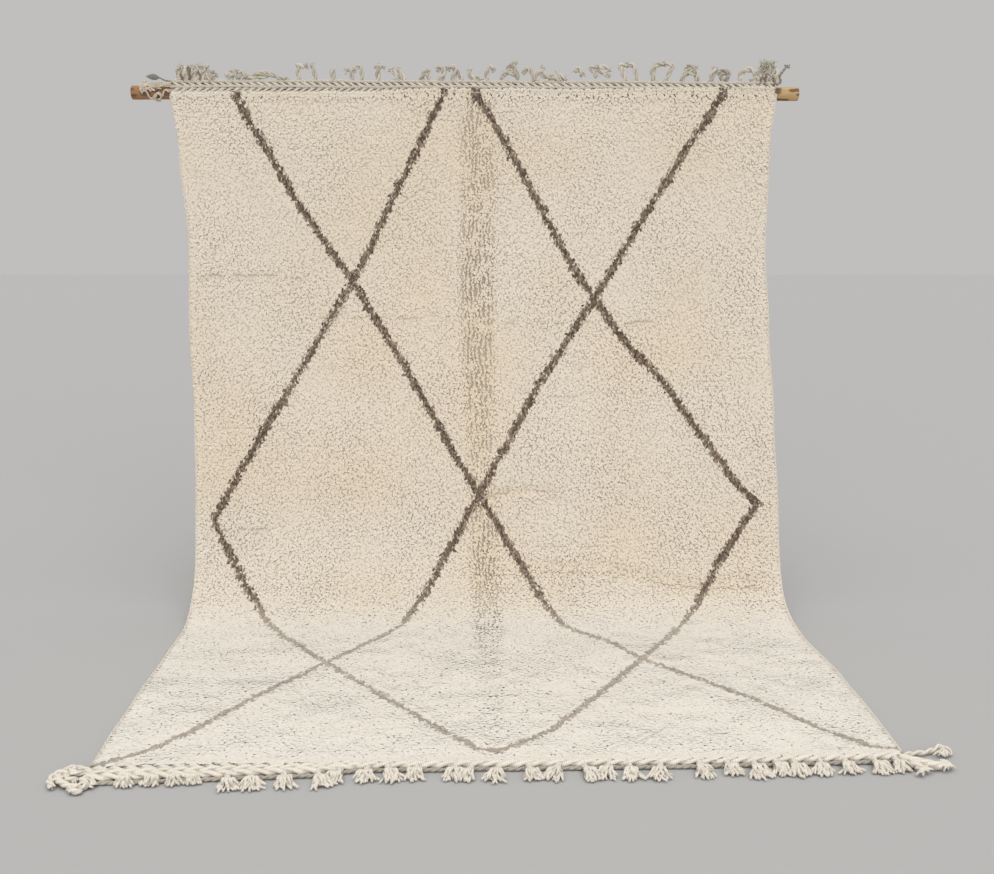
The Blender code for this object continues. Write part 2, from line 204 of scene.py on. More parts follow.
def front_rise(across, down):
    """How far the front of the cloth stands out of its line, with the bow of the cloth and the creases."""
    rise = cloth_wave(across, down)
    for crease in CREASES:
        below, share = off_crease(crease, across, down)
        rise = rise - CREASE_DEEP * share * hump(below, CREASE_WIDE)
    return rise


# The old lengthwise fold, where the locks part into wavering upright rows
FoldStop = namedtuple("FoldStop", "down left right parted")
FOLD = (
    FoldStop(0.00, -0.135, 0.005, 0.9),
    FoldStop(0.70, -0.140, 0.010, 1.0),
    FoldStop(1.30, -0.115, 0.000, 0.9),
    FoldStop(1.80, -0.095, 0.030, 1.0),
    FoldStop(1.95, -0.085, 0.030, 0.8),
    FoldStop(2.12, -0.070, 0.020, 0.45),
    FoldStop(2.80, -0.055, 0.030, 0.35),
)
FOLD_ROW = 0.0140  # from one upright row of locks to the next
FOLD_EASE = 0.03  # over which the fold begins at its sides


def fold_share(across, down):
    """How far the pile is parted by the old fold."""
    stops = [stop.down for stop in FOLD]
    left = np.interp(down, stops, [stop.left for stop in FOLD])
    right = np.interp(down, stops, [stop.right for stop in FOLD])
    parted = np.interp(down, stops, [stop.parted for stop in FOLD])
    return parted * smooth_step((across - left) / FOLD_EASE) * smooth_step((right - across) / FOLD_EASE)


class Wire:
    """What comes out of a node. Sums that are written with it become Math nodes."""

    def __init__(self, tree, socket):
        self.tree = tree
        self.socket = socket

    def beside(self, name):
        """Another output of the same node."""
        return Wire(self.tree, self.socket.node.outputs[name])

    def __add__(self, other):
        return self.tree.maths("ADD", self, other)

    __radd__ = __add__

    def __sub__(self, other):
        return self.tree.maths("SUBTRACT", self, other)

    def __rsub__(self, other):
        return self.tree.maths("SUBTRACT", other, self)

    def __mul__(self, other):
        return self.tree.maths("MULTIPLY", self, other)

    __rmul__ = __mul__

    def __pow__(self, other):
        return self.tree.maths("POWER", self, other)


class Tree:
    """A tree of nodes, for a finish or for a shape."""

    def __init__(self, tree):
        self.tree = tree

    def add(self, kind, settings=None, sockets=None, output=0):
        """A node of a kind, its settings first, then the values or wires of its sockets."""
        node = self.tree.nodes.new(kind)
        for name, value in (settings or {}).items():
            setattr(node, name, value)
        for key, value in (sockets or {}).items():
            for one in value if isinstance(value, list) else [value]:
                if isinstance(one, Wire):
                    self.tree.links.new(one.socket, node.inputs[key])
                else:
                    node.inputs[key].default_value = one
        return Wire(self, node.outputs[output])

    def maths(self, operation, *values):
        return self.add("ShaderNodeMath", {"operation": operation}, dict(enumerate(values)))

    def mixed(self, share, first, second, blend="MIX"):
        """A colour mixed from two."""
        settings = {"data_type": "RGBA", "blend_type": blend}
        return self.add("ShaderNodeMix", settings, {0: share, 6: first, 7: second}, 2)


class Finish(Tree):
    """A surface: what is the same all over is given at once, and what changes is fed in by wire."""

    def __init__(self, name, **even):
        self.material = bpy.data.materials.new(name)
        self.material.use_nodes = True
        super().__init__(self.material.node_tree)
        self.shader = self.tree.nodes["Principled BSDF"]
        for words, value in even.items():
            self.shader.inputs[words.replace("_", " ")].default_value = value

    def carried(self, name, output="Fac"):
        """A value or vector that the mesh carries with it."""
        return self.add("ShaderNodeAttribute", {"attribute_name": name}, None, output)

    def noise(self, scale, detail=2.0, vector=None, roughness=0.5):
        """Soft random blotches, finer with a greater scale."""
        sockets = {"Scale": scale, "Detail": detail, "Roughness": roughness}
        sockets["Vector"] = vector or self.add("ShaderNodeTexCoord", None, None, "Object")
        return self.add("ShaderNodeTexNoise", None, sockets, "Fac")

    def feed(self, name, wire):
        """Leads a wire to the surface's own socket."""
        self.tree.links.new(wire.socket, self.shader.inputs[name])

    def raise_up(self, height, distance, strength=1.0):
        """Fine relief: height from 0 to 1, distance in metres."""
        sockets = {"Height": height, "Distance": distance, "Strength": strength}
        self.feed("Normal", self.add("ShaderNodeBump", None, sockets, "Normal"))


BAKE_MAP = "OFBake"
BAKE_MARGIN = 0.02
BAKE_FRONT_HIGH = 0.10  # of the strip of the map for the cloth's front, which the pile hides
GROUND_COLUMNS = 56
GROUND_ROWS = 150
WARP_PITCH = 0.0080
GROUND_WOOL = (0.780, 0.695, 0.560, 1)
GROUND_SHADE = (0.600, 0.490, 0.350, 1)
GROUND_PALE = (0.830, 0.765, 0.655, 1)
GROUND_LIT = (0.90, 0.86, 0.785, 1)  # painted light: paler where it lies on the floor
GROUND_DEEP = (0.200, 0.140, 0.085, 1)  # in the shadow between the pile's rows and under the twining
# How deep that shadow is
UPPER_SHADE = 0.9
LOWER_SHADE = 0.6
FOLD_SHADE = 0.5
CREASE_SHADE = 0.6
CREASE_SHADE_BELOW = 0.008  # its middle, below the crease's
# How far down the cloth begins to lie on the floor, and where all of it does
LYING_FROM = 1.66
LYING_ALL = 1.90


def add_map(mesh, name, corners):
    """A map of the surface laid out flat: a place on it for each corner of each face."""
    layer = mesh.uv_layers.new(name=name, do_init=False)
    layer.uv.foreach_set("vector", np.asarray(corners, np.float32).ravel())


def show(name, mesh, material=None):
    """A new piece that moves with the rug."""
    piece = bpy.data.objects.new(name, mesh)
    bpy.context.scene.collection.objects.link(piece)
    if material:
        mesh.materials.append(material)
    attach(piece, "root")
    return piece


def ground_weave(material):
    """A closed sheet: a grid for its front, another for its back, and a narrow wall round its edge."""
    columns, rows = GROUND_COLUMNS + 1, GROUND_ROWS + 1
    across_share, down_share = np.meshgrid(np.linspace(0, 1, columns), np.linspace(0, 1, rows))
    down = down_share * (UPPER_WEAVE + PILE_LENGTH + LOWER_WEAVE) - UPPER_WEAVE
    inside = smooth_step(np.minimum(down, PILE_LENGTH - down) / END_EASE)
    thick = EDGE_THICK + (GROUND_THICK - EDGE_THICK) * inside
    left, right = edge_of("left", down), edge_of("right", down)
    across = left + (right - left) * across_share
    along = skewed(across, down)
    front = place(across, along, front_rise(across, along) + thick).reshape(-1, 3)
    back = place(across, along, cloth_wave(across, along)).reshape(-1, 3)
    number = np.arange(columns * rows).reshape(rows, columns)
    squares = [number[:-1, :-1], number[1:, :-1], number[1:, 1:], number[:-1, 1:]]
    squares = np.stack(squares, axis=-1).reshape(-1, 4)
    rim = np.concatenate([number[0, :], number[1:, -1], number[-1, -2::-1], number[-2:0:-1, 0]])
    ahead = np.roll(rim, -1)
    behind = columns * rows
    walls = np.stack([rim, ahead, ahead + behind, rim + behind], axis=-1)
    faces = np.concatenate([squares, squares[:, ::-1] + behind, walls])
    mesh = bpy.data.meshes.new("ground_weave")
    mesh.from_pydata(np.concatenate([front, back]).tolist(), [], faces.tolist())
    mesh.validate()
    corners = np.empty(len(mesh.loops), np.int32)
    mesh.loops.foreach_get("vertex_index", corners)
    flat = np.tile(np.stack([across.ravel(), down.ravel()], axis=-1), (2, 1))
    add_map(mesh, "weave", flat[corners])
    shares = np.stack([across_share.ravel(), down_share.ravel()], axis=-1)
    wide = 1 - 2 * BAKE_MARGIN
    upper = shares * (wide, BAKE_FRONT_HIGH) + (BAKE_MARGIN, 1 - BAKE_MARGIN - BAKE_FRONT_HIGH)
    lower = shares * (wide, 1 - 3 * BAKE_MARGIN - BAKE_FRONT_HIGH) + BAKE_MARGIN
    add_map(mesh, BAKE_MAP, np.concatenate([upper, lower])[corners])
    beyond = smooth_step((np.maximum(-down, down - PILE_LENGTH) - 0.004) / 0.010)
    deep = np.where(down < 0, UPPER_SHADE, LOWER_SHADE) * beyond
    deep = np.maximum(deep, FOLD_SHADE * fold_share(across, along) * (along < LYING_FROM))
    for crease in CREASES:
        below, share = off_crease(crease, across, along)
        shade = share * hump(below - CREASE_SHADE_BELOW, 0.9 * CREASE_WIDE)
        deep = np.maximum(deep, CREASE_SHADE * shade)
    deep = np.concatenate([deep.ravel(), 0 * deep.ravel()])
    mesh.attributes.new("deep", "FLOAT", "POINT").data.foreach_set("value", deep)
    mesh.shade_smooth()
    return show("ground_weave", mesh, material)


def ground_finish():
    """Undyed wool: a rib for each row of knots, two small knobs to a knot, and thin wefts between."""
    wool = Finish("ground wool", Roughness=0.95, Sheen_Weight=0.15)
    flat = wool.add("ShaderNodeUVMap", {"uv_map": "weave"})
    across = wool.add("ShaderNodeSeparateXYZ", None, {0: flat}, "X")
    down = across.beside("Y")
    wander = wool.noise(26.0, 3.0) - 0.5
    row_turn = (down + wander * 0.004) * (2 * math.pi / ROW_PITCH)
    knob_turn = (across + wander * 0.003) * (2 * math.pi / (WARP_PITCH / 2))
    rib = wool.maths("SINE", row_turn) * 0.5 + 0.5
    knob = wool.maths("SINE", knob_turn) * 0.5 + 0.5
    nap = wool.noise(900.0, 3.0)
    height = rib * 0.7 + rib * knob * 0.35 + nap * 0.25
    blotch = wool.noise(5.0, 4.0)
    thread = wool.mixed(rib * (0.55 + 0.45 * knob), GROUND_SHADE, GROUND_WOOL)
    thread = wool.mixed(blotch * 0.5 + nap * 0.3, thread, GROUND_PALE)
    # painted light: the weave is coloured paler where it lies on the floor
    lying = {"Value": down, "From Min": LYING_FROM, "From Max": LYING_ALL}
    lying = wool.add("ShaderNodeMapRange", None, lying)
    thread = wool.mixed(lying * 0.8, thread, GROUND_LIT)
    thread = wool.mixed(wool.carried("deep") * (0.6 + 0.4 * blotch), thread, GROUND_DEEP)
    wool.feed("Base Color", thread)
    wool.raise_up(height, 0.0022)
    return wool.material


ground = ground_weave(ground_finish())
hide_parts("rug_field")

# ---------------------------------------------------------------- the pile
# Locks of undyed cream wool, knotted round the warps in rows 8.5 mm apart and cut by hand. They lean down
# the cloth and close over one another. Dark brown wool, knotted in the same rows, draws the lattice.

LOCK_WIDE = 0.0137
LOCK_REACH = 0.0161  # how far its tip leans from its root
LOCK_HIGH = 0.0072
LOCK_ROOT = 0.0075  # over the cloth's back, inside the ground weave
LOCK_KINDS = 4
LOCK_FLAT = 0.7  # its depth, of its width
PILE_PARTS = 5
ROW_SHIFT = 0.25  # of a knot, to the right in one row and to the left in the next
WEFT_WANDER = 0.0022  # of a whole row, up or down
ROOT_STRAY = 0.0018  # of one lock's root
ADDED_STRAY = 0.005  # and of a lock's that is knotted in between
LEAN_STRAY = 0.65  # to either side, in radians
WIDE_STRAY = 0.26  # of a lock's width, then of its reach and its height
REACH_STRAY = 0.26
HIGH_STRAY = 0.14
PILE_SOFTNESS = 0.85  # how far each lock is shaded as the whole pile's surface is
# How far a face may turn from the cloth's front and still be shaded so: any way in the pile, not to the back
# at its sides, and only to the front on the yarns that are seen from behind too
SEEN_IN_FRONT = -2.0
SEEN_AT_SIDE = -0.5
SEEN_BEHIND = 0.0
SEEN_EASE = 0.6
SMALL_MOUND = 0.0010  # how high the pile seems to swell here and there
WIDE_MOUND = 0.0030
LINE_WIDE = 0.0225  # of the lattice's brown lines
LINE_EDGE = 0.0035  # over which the brown wool gives way to the cream
LINE_STRAY = 0.0042
SIDE_WIDE = 0.022  # of the strip at each side whose locks hang straight and lean out a little
SIDE_SHARE = 0.60  # of it, where the locks are seen from the side
SIDE_LEAN = 0.10
SIDE_IN = 0.004  # how far in from the edge of the weave its outermost locks are rooted
LYING_FLATTER = 0.64  # how the pile is pressed where it lies on the floor
LYING_LONGER = 0.30
LYING_WIDER = 0.42
LYING_PROUD = 0.0036

# Painted shade: how far the wool is darkened, most over the turn to the floor, by how far down it is
PAINTED_SHADE_BY_DOWN = (
    (0.85, 0.00), (1.03, 0.12), (1.15, 0.30), (1.36, 0.80), (1.55, 1.05), (1.70, 1.20),
    (1.86, 0.90), (1.95, 0.65), (2.35, 0.45), (2.60, 0.20), (2.85, 0.00),
)
# How far the pile's first and last rows climb over the twining, by their place across
UPPER_CLIMB = ((-1.09, 0.004), (-0.42, 0.005), (-0.27, 0.017), (0.35, 0.017), (0.95, 0.023))
LOWER_CLIMB = ((-0.98, 0.000), (-0.62, 0.002), (-0.40, 0.012), (1.00, 0.014))
TURNED_UP_FROM = 0.009  # how far below the first row its highest locks are rooted, which point upwards
# How proud the climbing locks are of the cloth's back, and how much more the highest of them
UPPER_CLIMB_PROUD = 0.0085
LOWER_CLIMB_PROUD = 0.0125
CLIMB_RISE = 0.003
PILE_WAVES = (Wave(0.10, 21.0, 5.0, 0.0), Wave(0.10, -8.0, 13.0, 0.0))

# The lattice's four lines by their turns, across and down the cloth in metres
LATTICE = (
    (
        Turn(-0.89, -0.02), Turn(-0.81, 0.12), Turn(-0.67, 0.36), Turn(-0.49, 0.62), Turn(-0.32, 0.90),
        Turn(-0.17, 1.17), Turn(-0.06, 1.35), Turn(0.08, 1.59), Turn(0.16, 1.74), Turn(0.22, 1.86),
        Turn(0.35, 1.99), Turn(0.44, 2.15), Turn(0.70, 2.45), Turn(0.84, 2.66), Turn(0.93, 2.76),
        Turn(0.99, 2.79),
    ),
    (
        Turn(-0.17, -0.02), Turn(-0.29, 0.22), Turn(-0.49, 0.62), Turn(-0.74, 1.03), Turn(-0.94, 1.38),
        Turn(-0.97, 1.44), Turn(-0.89, 1.59), Turn(-0.80, 1.74), Turn(-0.73, 1.87), Turn(-0.51, 2.18),
        Turn(-0.31, 2.45), Turn(-0.15, 2.66), Turn(-0.05, 2.78), Turn(0.00, 2.80),
    ),
    (
        Turn(-0.09, -0.03), Turn(0.03, 0.16), Turn(0.14, 0.36), Turn(0.25, 0.56), Turn(0.33, 0.68),
        Turn(0.44, 0.83), Turn(0.57, 0.96), Turn(0.82, 1.31), Turn(0.89, 1.38), Turn(0.84, 1.45),
        Turn(0.75, 1.59), Turn(0.59, 1.87), Turn(0.44, 2.15), Turn(0.27, 2.45), Turn(0.15, 2.66),
        Turn(0.09, 2.72), Turn(0.00, 2.80),
    ),
    (
        Turn(0.77, -0.02), Turn(0.65, 0.16), Turn(0.57, 0.29), Turn(0.33, 0.68), Turn(0.15, 0.96),
        Turn(-0.06, 1.35), Turn(-0.19, 1.59), Turn(-0.32, 1.87), Turn(-0.51, 2.18), Turn(-0.67, 2.45),
        Turn(-0.78, 2.66), Turn(-0.85, 2.78), Turn(-0.93, 2.85), Turn(-0.97, 2.89),
    ),
)

CREASE_SECOND = 0.022  # how far below a crease the pile opens again
CREASE_WARM_BELOW = 0.010  # and where its wool looks warmest

# Places where two rows of knots stand a little apart, so that a thin line shows across
PARTING_WIDE = 0.0035
PARTING_EASE = 0.05  # over which it closes at its ends
Parting = namedtuple("Parting", "down left right deep")
PARTINGS = (
    Parting(0.605, -1.03, -0.60, 0.9),
    Parting(0.745, -0.62, -0.10, 0.6),
    Parting(0.760, -0.02, 0.60, 0.6),
    Parting(1.010, 0.05, 0.45, 0.4),
    Parting(1.180, -0.95, -0.55, 0.35),
    Parting(1.470, -0.99, -0.72, 0.7),
    Parting(1.530, 0.10, 0.70, 0.35),
)


def uneven(across, down, size, seed):
    """A smooth random value from -1 to 1, which changes over about the size given, in metres."""
    grid = 256
    values = np.random.default_rng(seed).uniform(-1, 1, (grid, grid))
    column, row = (across + 2) / size, (down + 2) / size
    left, top = np.floor(column).astype(int), np.floor(row).astype(int)
    to_right, to_foot = smooth_step(column - left), smooth_step(row - top)

    def along(lower):
        here, next_one = (values[(top + lower) % grid, (left + further) % grid] for further in (0, 1))
        return here + (next_one - here) * to_right

    upper, lower = along(0), along(1)
    return upper + (lower - upper) * to_foot


def facing(across, down):
    """The direction that stands off the front of the cloth, with its bows, creases and uneven pile."""
    step = 0.004

    def rise(across, down):
        mounds = SMALL_MOUND * uneven(across, down, 0.05, 35) + WIDE_MOUND * uneven(across, down, 0.17, 36)
        return front_rise(across, down) + mounds

    lower = rise(across, down + step) - rise(across, down - step)
    wider = rise(across + step, down) - rise(across - step, down)
    way = off_cloth(down) - (lower / (2 * step))[:, None] * down_cloth(down)
    way[:, 0] -= wider / (2 * step)
    return way / np.linalg.norm(way, axis=1)[:, None]


def off_lattice(across, down):
    """How far each place lies from the nearest line of the lattice."""
    nearest = np.full(across.shape, np.inf)
    for line in LATTICE:
        for first, last in zip(line, line[1:]):
            run = np.array([last.across - first.across, last.down - first.down])
            share = (across - first.across) * run[0] + (down - first.down) * run[1]
            share = np.clip(share / (run @ run), 0, 1)
            away = np.hypot(across - first.across - share * run[0], down - first.down - share * run[1])
            nearest = np.minimum(nearest, away)
    return nearest


def upright_rows(across, down):
    """In the fold: how far each place lies aside from its upright row's middle, and how clear the row is."""
    wavering = 0.50 * uneven(across, down, 0.034, 27) + 0.60 * uneven(across, down, 0.09, 28)
    upright = across / FOLD_ROW + wavering
    aside = upright - np.floor(upright) - 0.5
    clear = np.clip(0.65 + 1.2 * uneven(np.floor(upright) * 0.4, down, 0.024, 26), 0, 1)
    return aside, clear


def gap_at(parting, across, down):
    """How far below a parting's wavering line each place lies, and how far the parting gapes there."""
    line = parting.down + 0.008 * uneven(across, down, 0.10, 29) + 0.003 * uneven(across, down, 0.02, 34)
    gap = smooth_step((across - parting.left) / PARTING_EASE)
    gap *= smooth_step((parting.right - across) / PARTING_EASE)
    return down - line, gap * (parting.deep * np.clip(0.35 + 1.1 * uneven(across, down, 0.022, 30), 0, 1))


def opening_at(crease, across, down):
    """How far the pile opens in two broken lines along a crease, and how warm its wool looks beside them."""
    below, share = off_crease(crease, across, down)
    below = below + 0.006 * uneven(across, down, 0.05, 31)
    broken = np.clip(0.45 + 1.2 * uneven(across, down, 0.020, 32), 0, 1)
    lines = hump(below, 0.6 * ROW_PITCH) + 0.6 * hump(below - CREASE_SECOND, 0.6 * ROW_PITCH)
    warm = 0.45 * share * hump(below - CREASE_WARM_BELOW, 1.6 * CREASE_WIDE)
    return np.minimum(share * broken * lines, 1), warm


def knotted_rows():
    """Every lock of the pile: where it is rooted, how it leans, its size and its colours."""
    random = np.random.default_rng(3)
    rows = np.arange(ROW_PITCH / 2, PILE_LENGTH, ROW_PITCH)
    row, knot = np.meshgrid(np.arange(len(rows)), np.arange(KNOTS_IN_ROW), indexing="ij")
    row, knot = row.ravel(), knot.ravel()

    def jitter(spread):
        return random.uniform(-spread, spread, len(row))

    down = rows[row] + jitter(ROOT_STRAY)
    left, right = edge_of("left", down), edge_of("right", down)
    share = (knot + 0.5 + ROW_SHIFT * np.where(row % 2, 1, -1)) / KNOTS_IN_ROW
    across = left + (right - left) * share + jitter(ROOT_STRAY)

    # the dark wool of the lattice is knotted in twice as close, and the first and last rows stand again over
    # the twining, each time further out
    on_line = np.flatnonzero(off_lattice(across, skewed(across, down)) < 0.5 * LINE_WIDE + 0.004)
    upper, lower = np.flatnonzero(row == 0), np.flatnonzero(row == row.max())
    copies = ((on_line, 0.0), (upper, 0.5), (upper, 1.0), (upper, 0.7), (lower, 0.5), (lower, 1.0))
    again = np.concatenate([np.arange(len(row))] + [mine for mine, out in copies])
    climb = np.concatenate([np.zeros(len(row))] + [np.full(len(mine), out) for mine, out in copies])
    added = np.zeros(len(again))
    added[len(row) : len(row) + len(on_line)] = 1
    row, across, down, left, right = (column[again] for column in (row, across, down, left, right))
    to_end = np.minimum(down, PILE_LENGTH - down)
    upturned = (row == 0) & (climb > 0.6)
    over_upper = climb * (row == 0) * np.interp(across, *zip(*UPPER_CLIMB)) - TURNED_UP_FROM * upturned
    over_lower = climb * (row > 0) * np.interp(across, *zip(*LOWER_CLIMB))
    down = down - over_upper + over_lower
    across = across + np.maximum(added, climb > 0) * jitter(ADDED_STRAY)
    down = down + added * jitter(ADDED_STRAY)
    down = skewed(across, down + WEFT_WANDER * uneven(across, down, 0.16, 21))

    # each lock leans and is sized a little differently from the next, and so are whole patches
    sway = 0.20 * uneven(across, down, 0.03, 22) + 0.25 * uneven(across, down, 0.13, 23) + jitter(LEAN_STRAY)
    stretch = np.stack([1 + jitter(WIDE_STRAY), 1 + jitter(REACH_STRAY), 1 + jitter(HIGH_STRAY)], axis=-1)
    stretch[:, 2] *= (1 + 0.10 * uneven(across, down, 0.018, 24)) * np.interp(down, (0.1, 1.5), (0.84, 1.12))
    for wave in PILE_WAVES:
        stretch[:, 2] *= 1 + wave.rise * np.sin(wave.across * across + wave.down * down)
    warm = np.clip(0.30 + 0.50 * uneven(across, down, 0.22, 25), 0, 1)
    shade = jitter(1.0)

    # over the sides, the locks lean out past the selvedge
    lying = smooth_step((down - LYING_FROM) / (LYING_ALL - LYING_FROM))
    at_side = np.zeros(len(row))
    for edge, way in ((left, -1), (right, 1)):
        near = smooth_step(1 - np.abs(across - edge) / SIDE_WIDE)
        sway = sway * (1 - 0.85 * near) + way * near * SIDE_LEAN * (1 - lying)
        across = across - way * SIDE_IN * near * (1 + lying)
        stretch[:, 1] *= 1 - (0.15 + 0.2 * lying) * near
        stretch[:, 0] *= 1 + 0.35 * near * (1 - lying)
        at_side = np.maximum(at_side, near)
    sway = sway * (1 - 0.4 * lying)

    # in the fold, each lock leans to the middle of its upright row and leaves a slit beside it
    parted = fold_share(across, down)
    warm = np.clip(warm + 0.60 * parted, 0, 1)
    aside, clear = upright_rows(across, down)
    sway = sway * (1 - 0.5 * parted) - 0.9 * aside * parted * clear
    across = across - 0.28 * aside * FOLD_ROW * parted * clear
    slit = parted * clear * smooth_step((np.abs(aside) - 0.24) / 0.16)
    stretch[:, 2] *= 1 + parted * 0.25 - 0.65 * slit
    stretch[:, 0] *= 1 - 0.38 * parted * clear

    # a parting: the row above lies flatter and the row below starts lower
    # dark is painted shade: the locks beside the fold's slits, the partings and the crease openings are
    # coloured darker
    dark = 0.75 * slit
    for parting in PARTINGS:
        below, gap = gap_at(parting, across, down)
        near = hump(below, ROW_PITCH)
        stretch[:, 1] *= 1 - 0.55 * gap * near * (below < 0)
        down = down + PARTING_WIDE * gap * np.sign(below) * near
        dark = np.maximum(dark, 0.7 * gap * near)

    # along a crease the locks lie flatter beside each opening
    for crease in CREASES:
        opened, beside = opening_at(crease, across, down)
        stretch[:, 1] *= 1 - 0.5 * opened
        stretch[:, 2] *= 1 - 0.3 * opened
        warm = np.clip(warm + beside, 0, 1)
        dark = np.maximum(dark, opened)

    # where it lies on the floor, the pile is pressed flatter
    stretch[:, 2] *= 1 - LYING_FLATTER * lying * (1 - 0.5 * parted)
    stretch[:, 1] *= 1 + LYING_LONGER * lying
    stretch[:, 0] *= 1 + LYING_WIDER * lying

    # the brown locks of the lattice are a little slimmer and stand a little higher
    half = 0.5 * LINE_WIDE * (1 + 0.25 * uneven(across, down, 0.035, 33)) * (1 - 0.28 * lying)
    brown = np.clip((half - off_lattice(across, down) + jitter(LINE_STRAY)) / LINE_EDGE + 0.5, 0, 1)
    stretch[:, 0] *= 1 - 0.15 * brown
    stretch[:, 2] *= 1 + 0.10 * brown
    stretch[:, 1] *= 1 - 0.35 * upturned
    sway += brown * jitter(0.35)

    at_end = 1 - smooth_step(to_end / END_EASE)
    proud = front_rise(across, down) + LOCK_ROOT + 0.002 * at_end + LYING_PROUD * lying
    climbing = np.where(row > 0, LOWER_CLIMB_PROUD, UPPER_CLIMB_PROUD) + CLIMB_RISE * climb
    proud = np.where(climb > 0, climbing, proud)
    toward = np.cos(sway)[:, None] * down_cloth(down)
    toward[:, 0] += np.sin(sway)
    toward[upturned] *= -1
    return {
        "places": place(across, down, np.maximum(proud, 0.0008)),
        "off": facing(across, down),
        "toward": toward,
        "stretch": stretch,
        "brown": brown,
        "shade": shade,
        "warm": warm,
        # painted shade in the slits, partings and crease openings
        "dark": dark,
        # painted light: the locks that lie on the floor are coloured paler
        "pale": lying,
        # painted shade, most over the turn to the floor
        "worn": np.interp(down, *zip(*PAINTED_SHADE_BY_DOWN)),
        "soft": np.full(len(row), PILE_SOFTNESS),
        "limit": np.where(at_side > SIDE_SHARE, SEEN_AT_SIDE, SEEN_IN_FRONT),
        "kind": random.integers(0, LOCK_KINDS, len(row)),
        "row": row,
    }


class Shape(Tree):
    """A tree that makes the geometry of a repeated piece, with named inputs for its sizes."""

    def __init__(self, name, **sizes):
        super().__init__(bpy.data.node_groups.new(name, "GeometryNodeTree"))
        face = self.tree.interface
        face.new_socket("Geometry", in_out="OUTPUT", socket_type="NodeSocketGeometry")
        face.new_socket("Geometry", in_out="INPUT", socket_type="NodeSocketGeometry")
        face.new_socket("Finish", in_out="INPUT", socket_type="NodeSocketMaterial")
        for words, value in sizes.items():
            kind = "NodeSocketInt" if isinstance(value, int) else "NodeSocketFloat"
            socket = face.new_socket(words.replace("_", " "), in_out="INPUT", socket_type=kind)
            socket.default_value = value
        self.given = self.tree.nodes.new("NodeGroupInput")

    def input(self, name):
        """A size that was given to the whole tree."""
        return Wire(self, self.given.outputs[name])

    def named(self, name, kind="FLOAT"):
        """What a point carries."""
        return self.add("GeometryNodeInputNamedAttribute", {"data_type": kind}, {"Name": name})

    def store(self, geometry, name, value, kind="FLOAT"):
        """Gives each point something to carry."""
        settings = {"data_type": kind, "domain": "POINT"}
        sockets = {0: geometry, "Name": name, "Value": value}
        return self.add("GeometryNodeStoreNamedAttribute", settings, sockets)

    def bud(self):
        """A small closed three-sided form, pointed at both ends, to be bent or stretched; its x, y and z."""
        bud = self.add("GeometryNodeMeshUVSphere", None, {"Segments": 3, "Rings": 2, "Radius": 0.5})
        here = self.add("GeometryNodeInputPosition")
        x = self.add("ShaderNodeSeparateXYZ", None, {0: here}, "X")
        y, z = x.beside("Y"), x.beside("Z") + 0.5
        ring = self.add("ShaderNodeCombineXYZ", None, {"X": x, "Y": y})
        return self.store(bud, "ring", ring, "FLOAT_VECTOR"), x, y, z

    def set_on_points(self, instance, sizes, stretch=None, pick=None):
        """Ends the tree with the instance on every point, standing off the cloth and leaning its way."""
        axes = {"primary_axis": "Z", "secondary_axis": "Y"}
        facing = {0: self.named("off", "FLOAT_VECTOR"), 1: self.named("toward", "FLOAT_VECTOR")}
        turned = self.add("FunctionNodeAxesToRotation", axes, facing)
        sizes = dict(enumerate(self.input(name) for name in sizes))
        size = self.add("ShaderNodeCombineXYZ", None, sizes)
        if stretch:
            size = self.add("ShaderNodeVectorMath", {"operation": "MULTIPLY"}, {0: size, 1: stretch})
        sockets = {"Points": self.input("Geometry"), "Instance": instance, "Rotation": turned, "Scale": size}
        if pick:
            sockets |= {"Pick Instance": True, "Instance Index": pick}
        self.end(self.add("GeometryNodeInstanceOnPoints", None, sockets))

    def end(self, geometry):
        """Makes the instances real, smooths them, gives them their finish and ends the tree."""
        real = self.add("GeometryNodeRealizeInstances", None, {0: geometry})
        smooth = self.add("GeometryNodeSetShadeSmooth", None, {0: real})
        dressed = self.add("GeometryNodeSetMaterial", None, {0: smooth, "Material": self.input("Finish")})
        last = self.tree.nodes.new("NodeGroupOutput")
        self.tree.links.new(dressed.socket, last.inputs[0])

    def make(self, name, mesh, material):
        """Works the tree over a mesh and returns the result as a plain piece."""
        raw = bpy.data.objects.new(name, mesh)
        bpy.context.scene.collection.objects.link(raw)
        modifier = raw.modifiers.new(self.tree.name, "NODES")
        modifier.node_group = self.tree
        for socket in self.tree.interface.items_tree:
            if socket.name == "Finish":
                modifier[socket.identifier] = material
        ready = bpy.context.evaluated_depsgraph_get()
        worked = bpy.data.meshes.new_from_object(raw.evaluated_get(ready), depsgraph=ready)
        raw.modifiers.remove(modifier)
        bpy.data.objects.remove(raw)
        worked.name = name
        return show(name, worked)


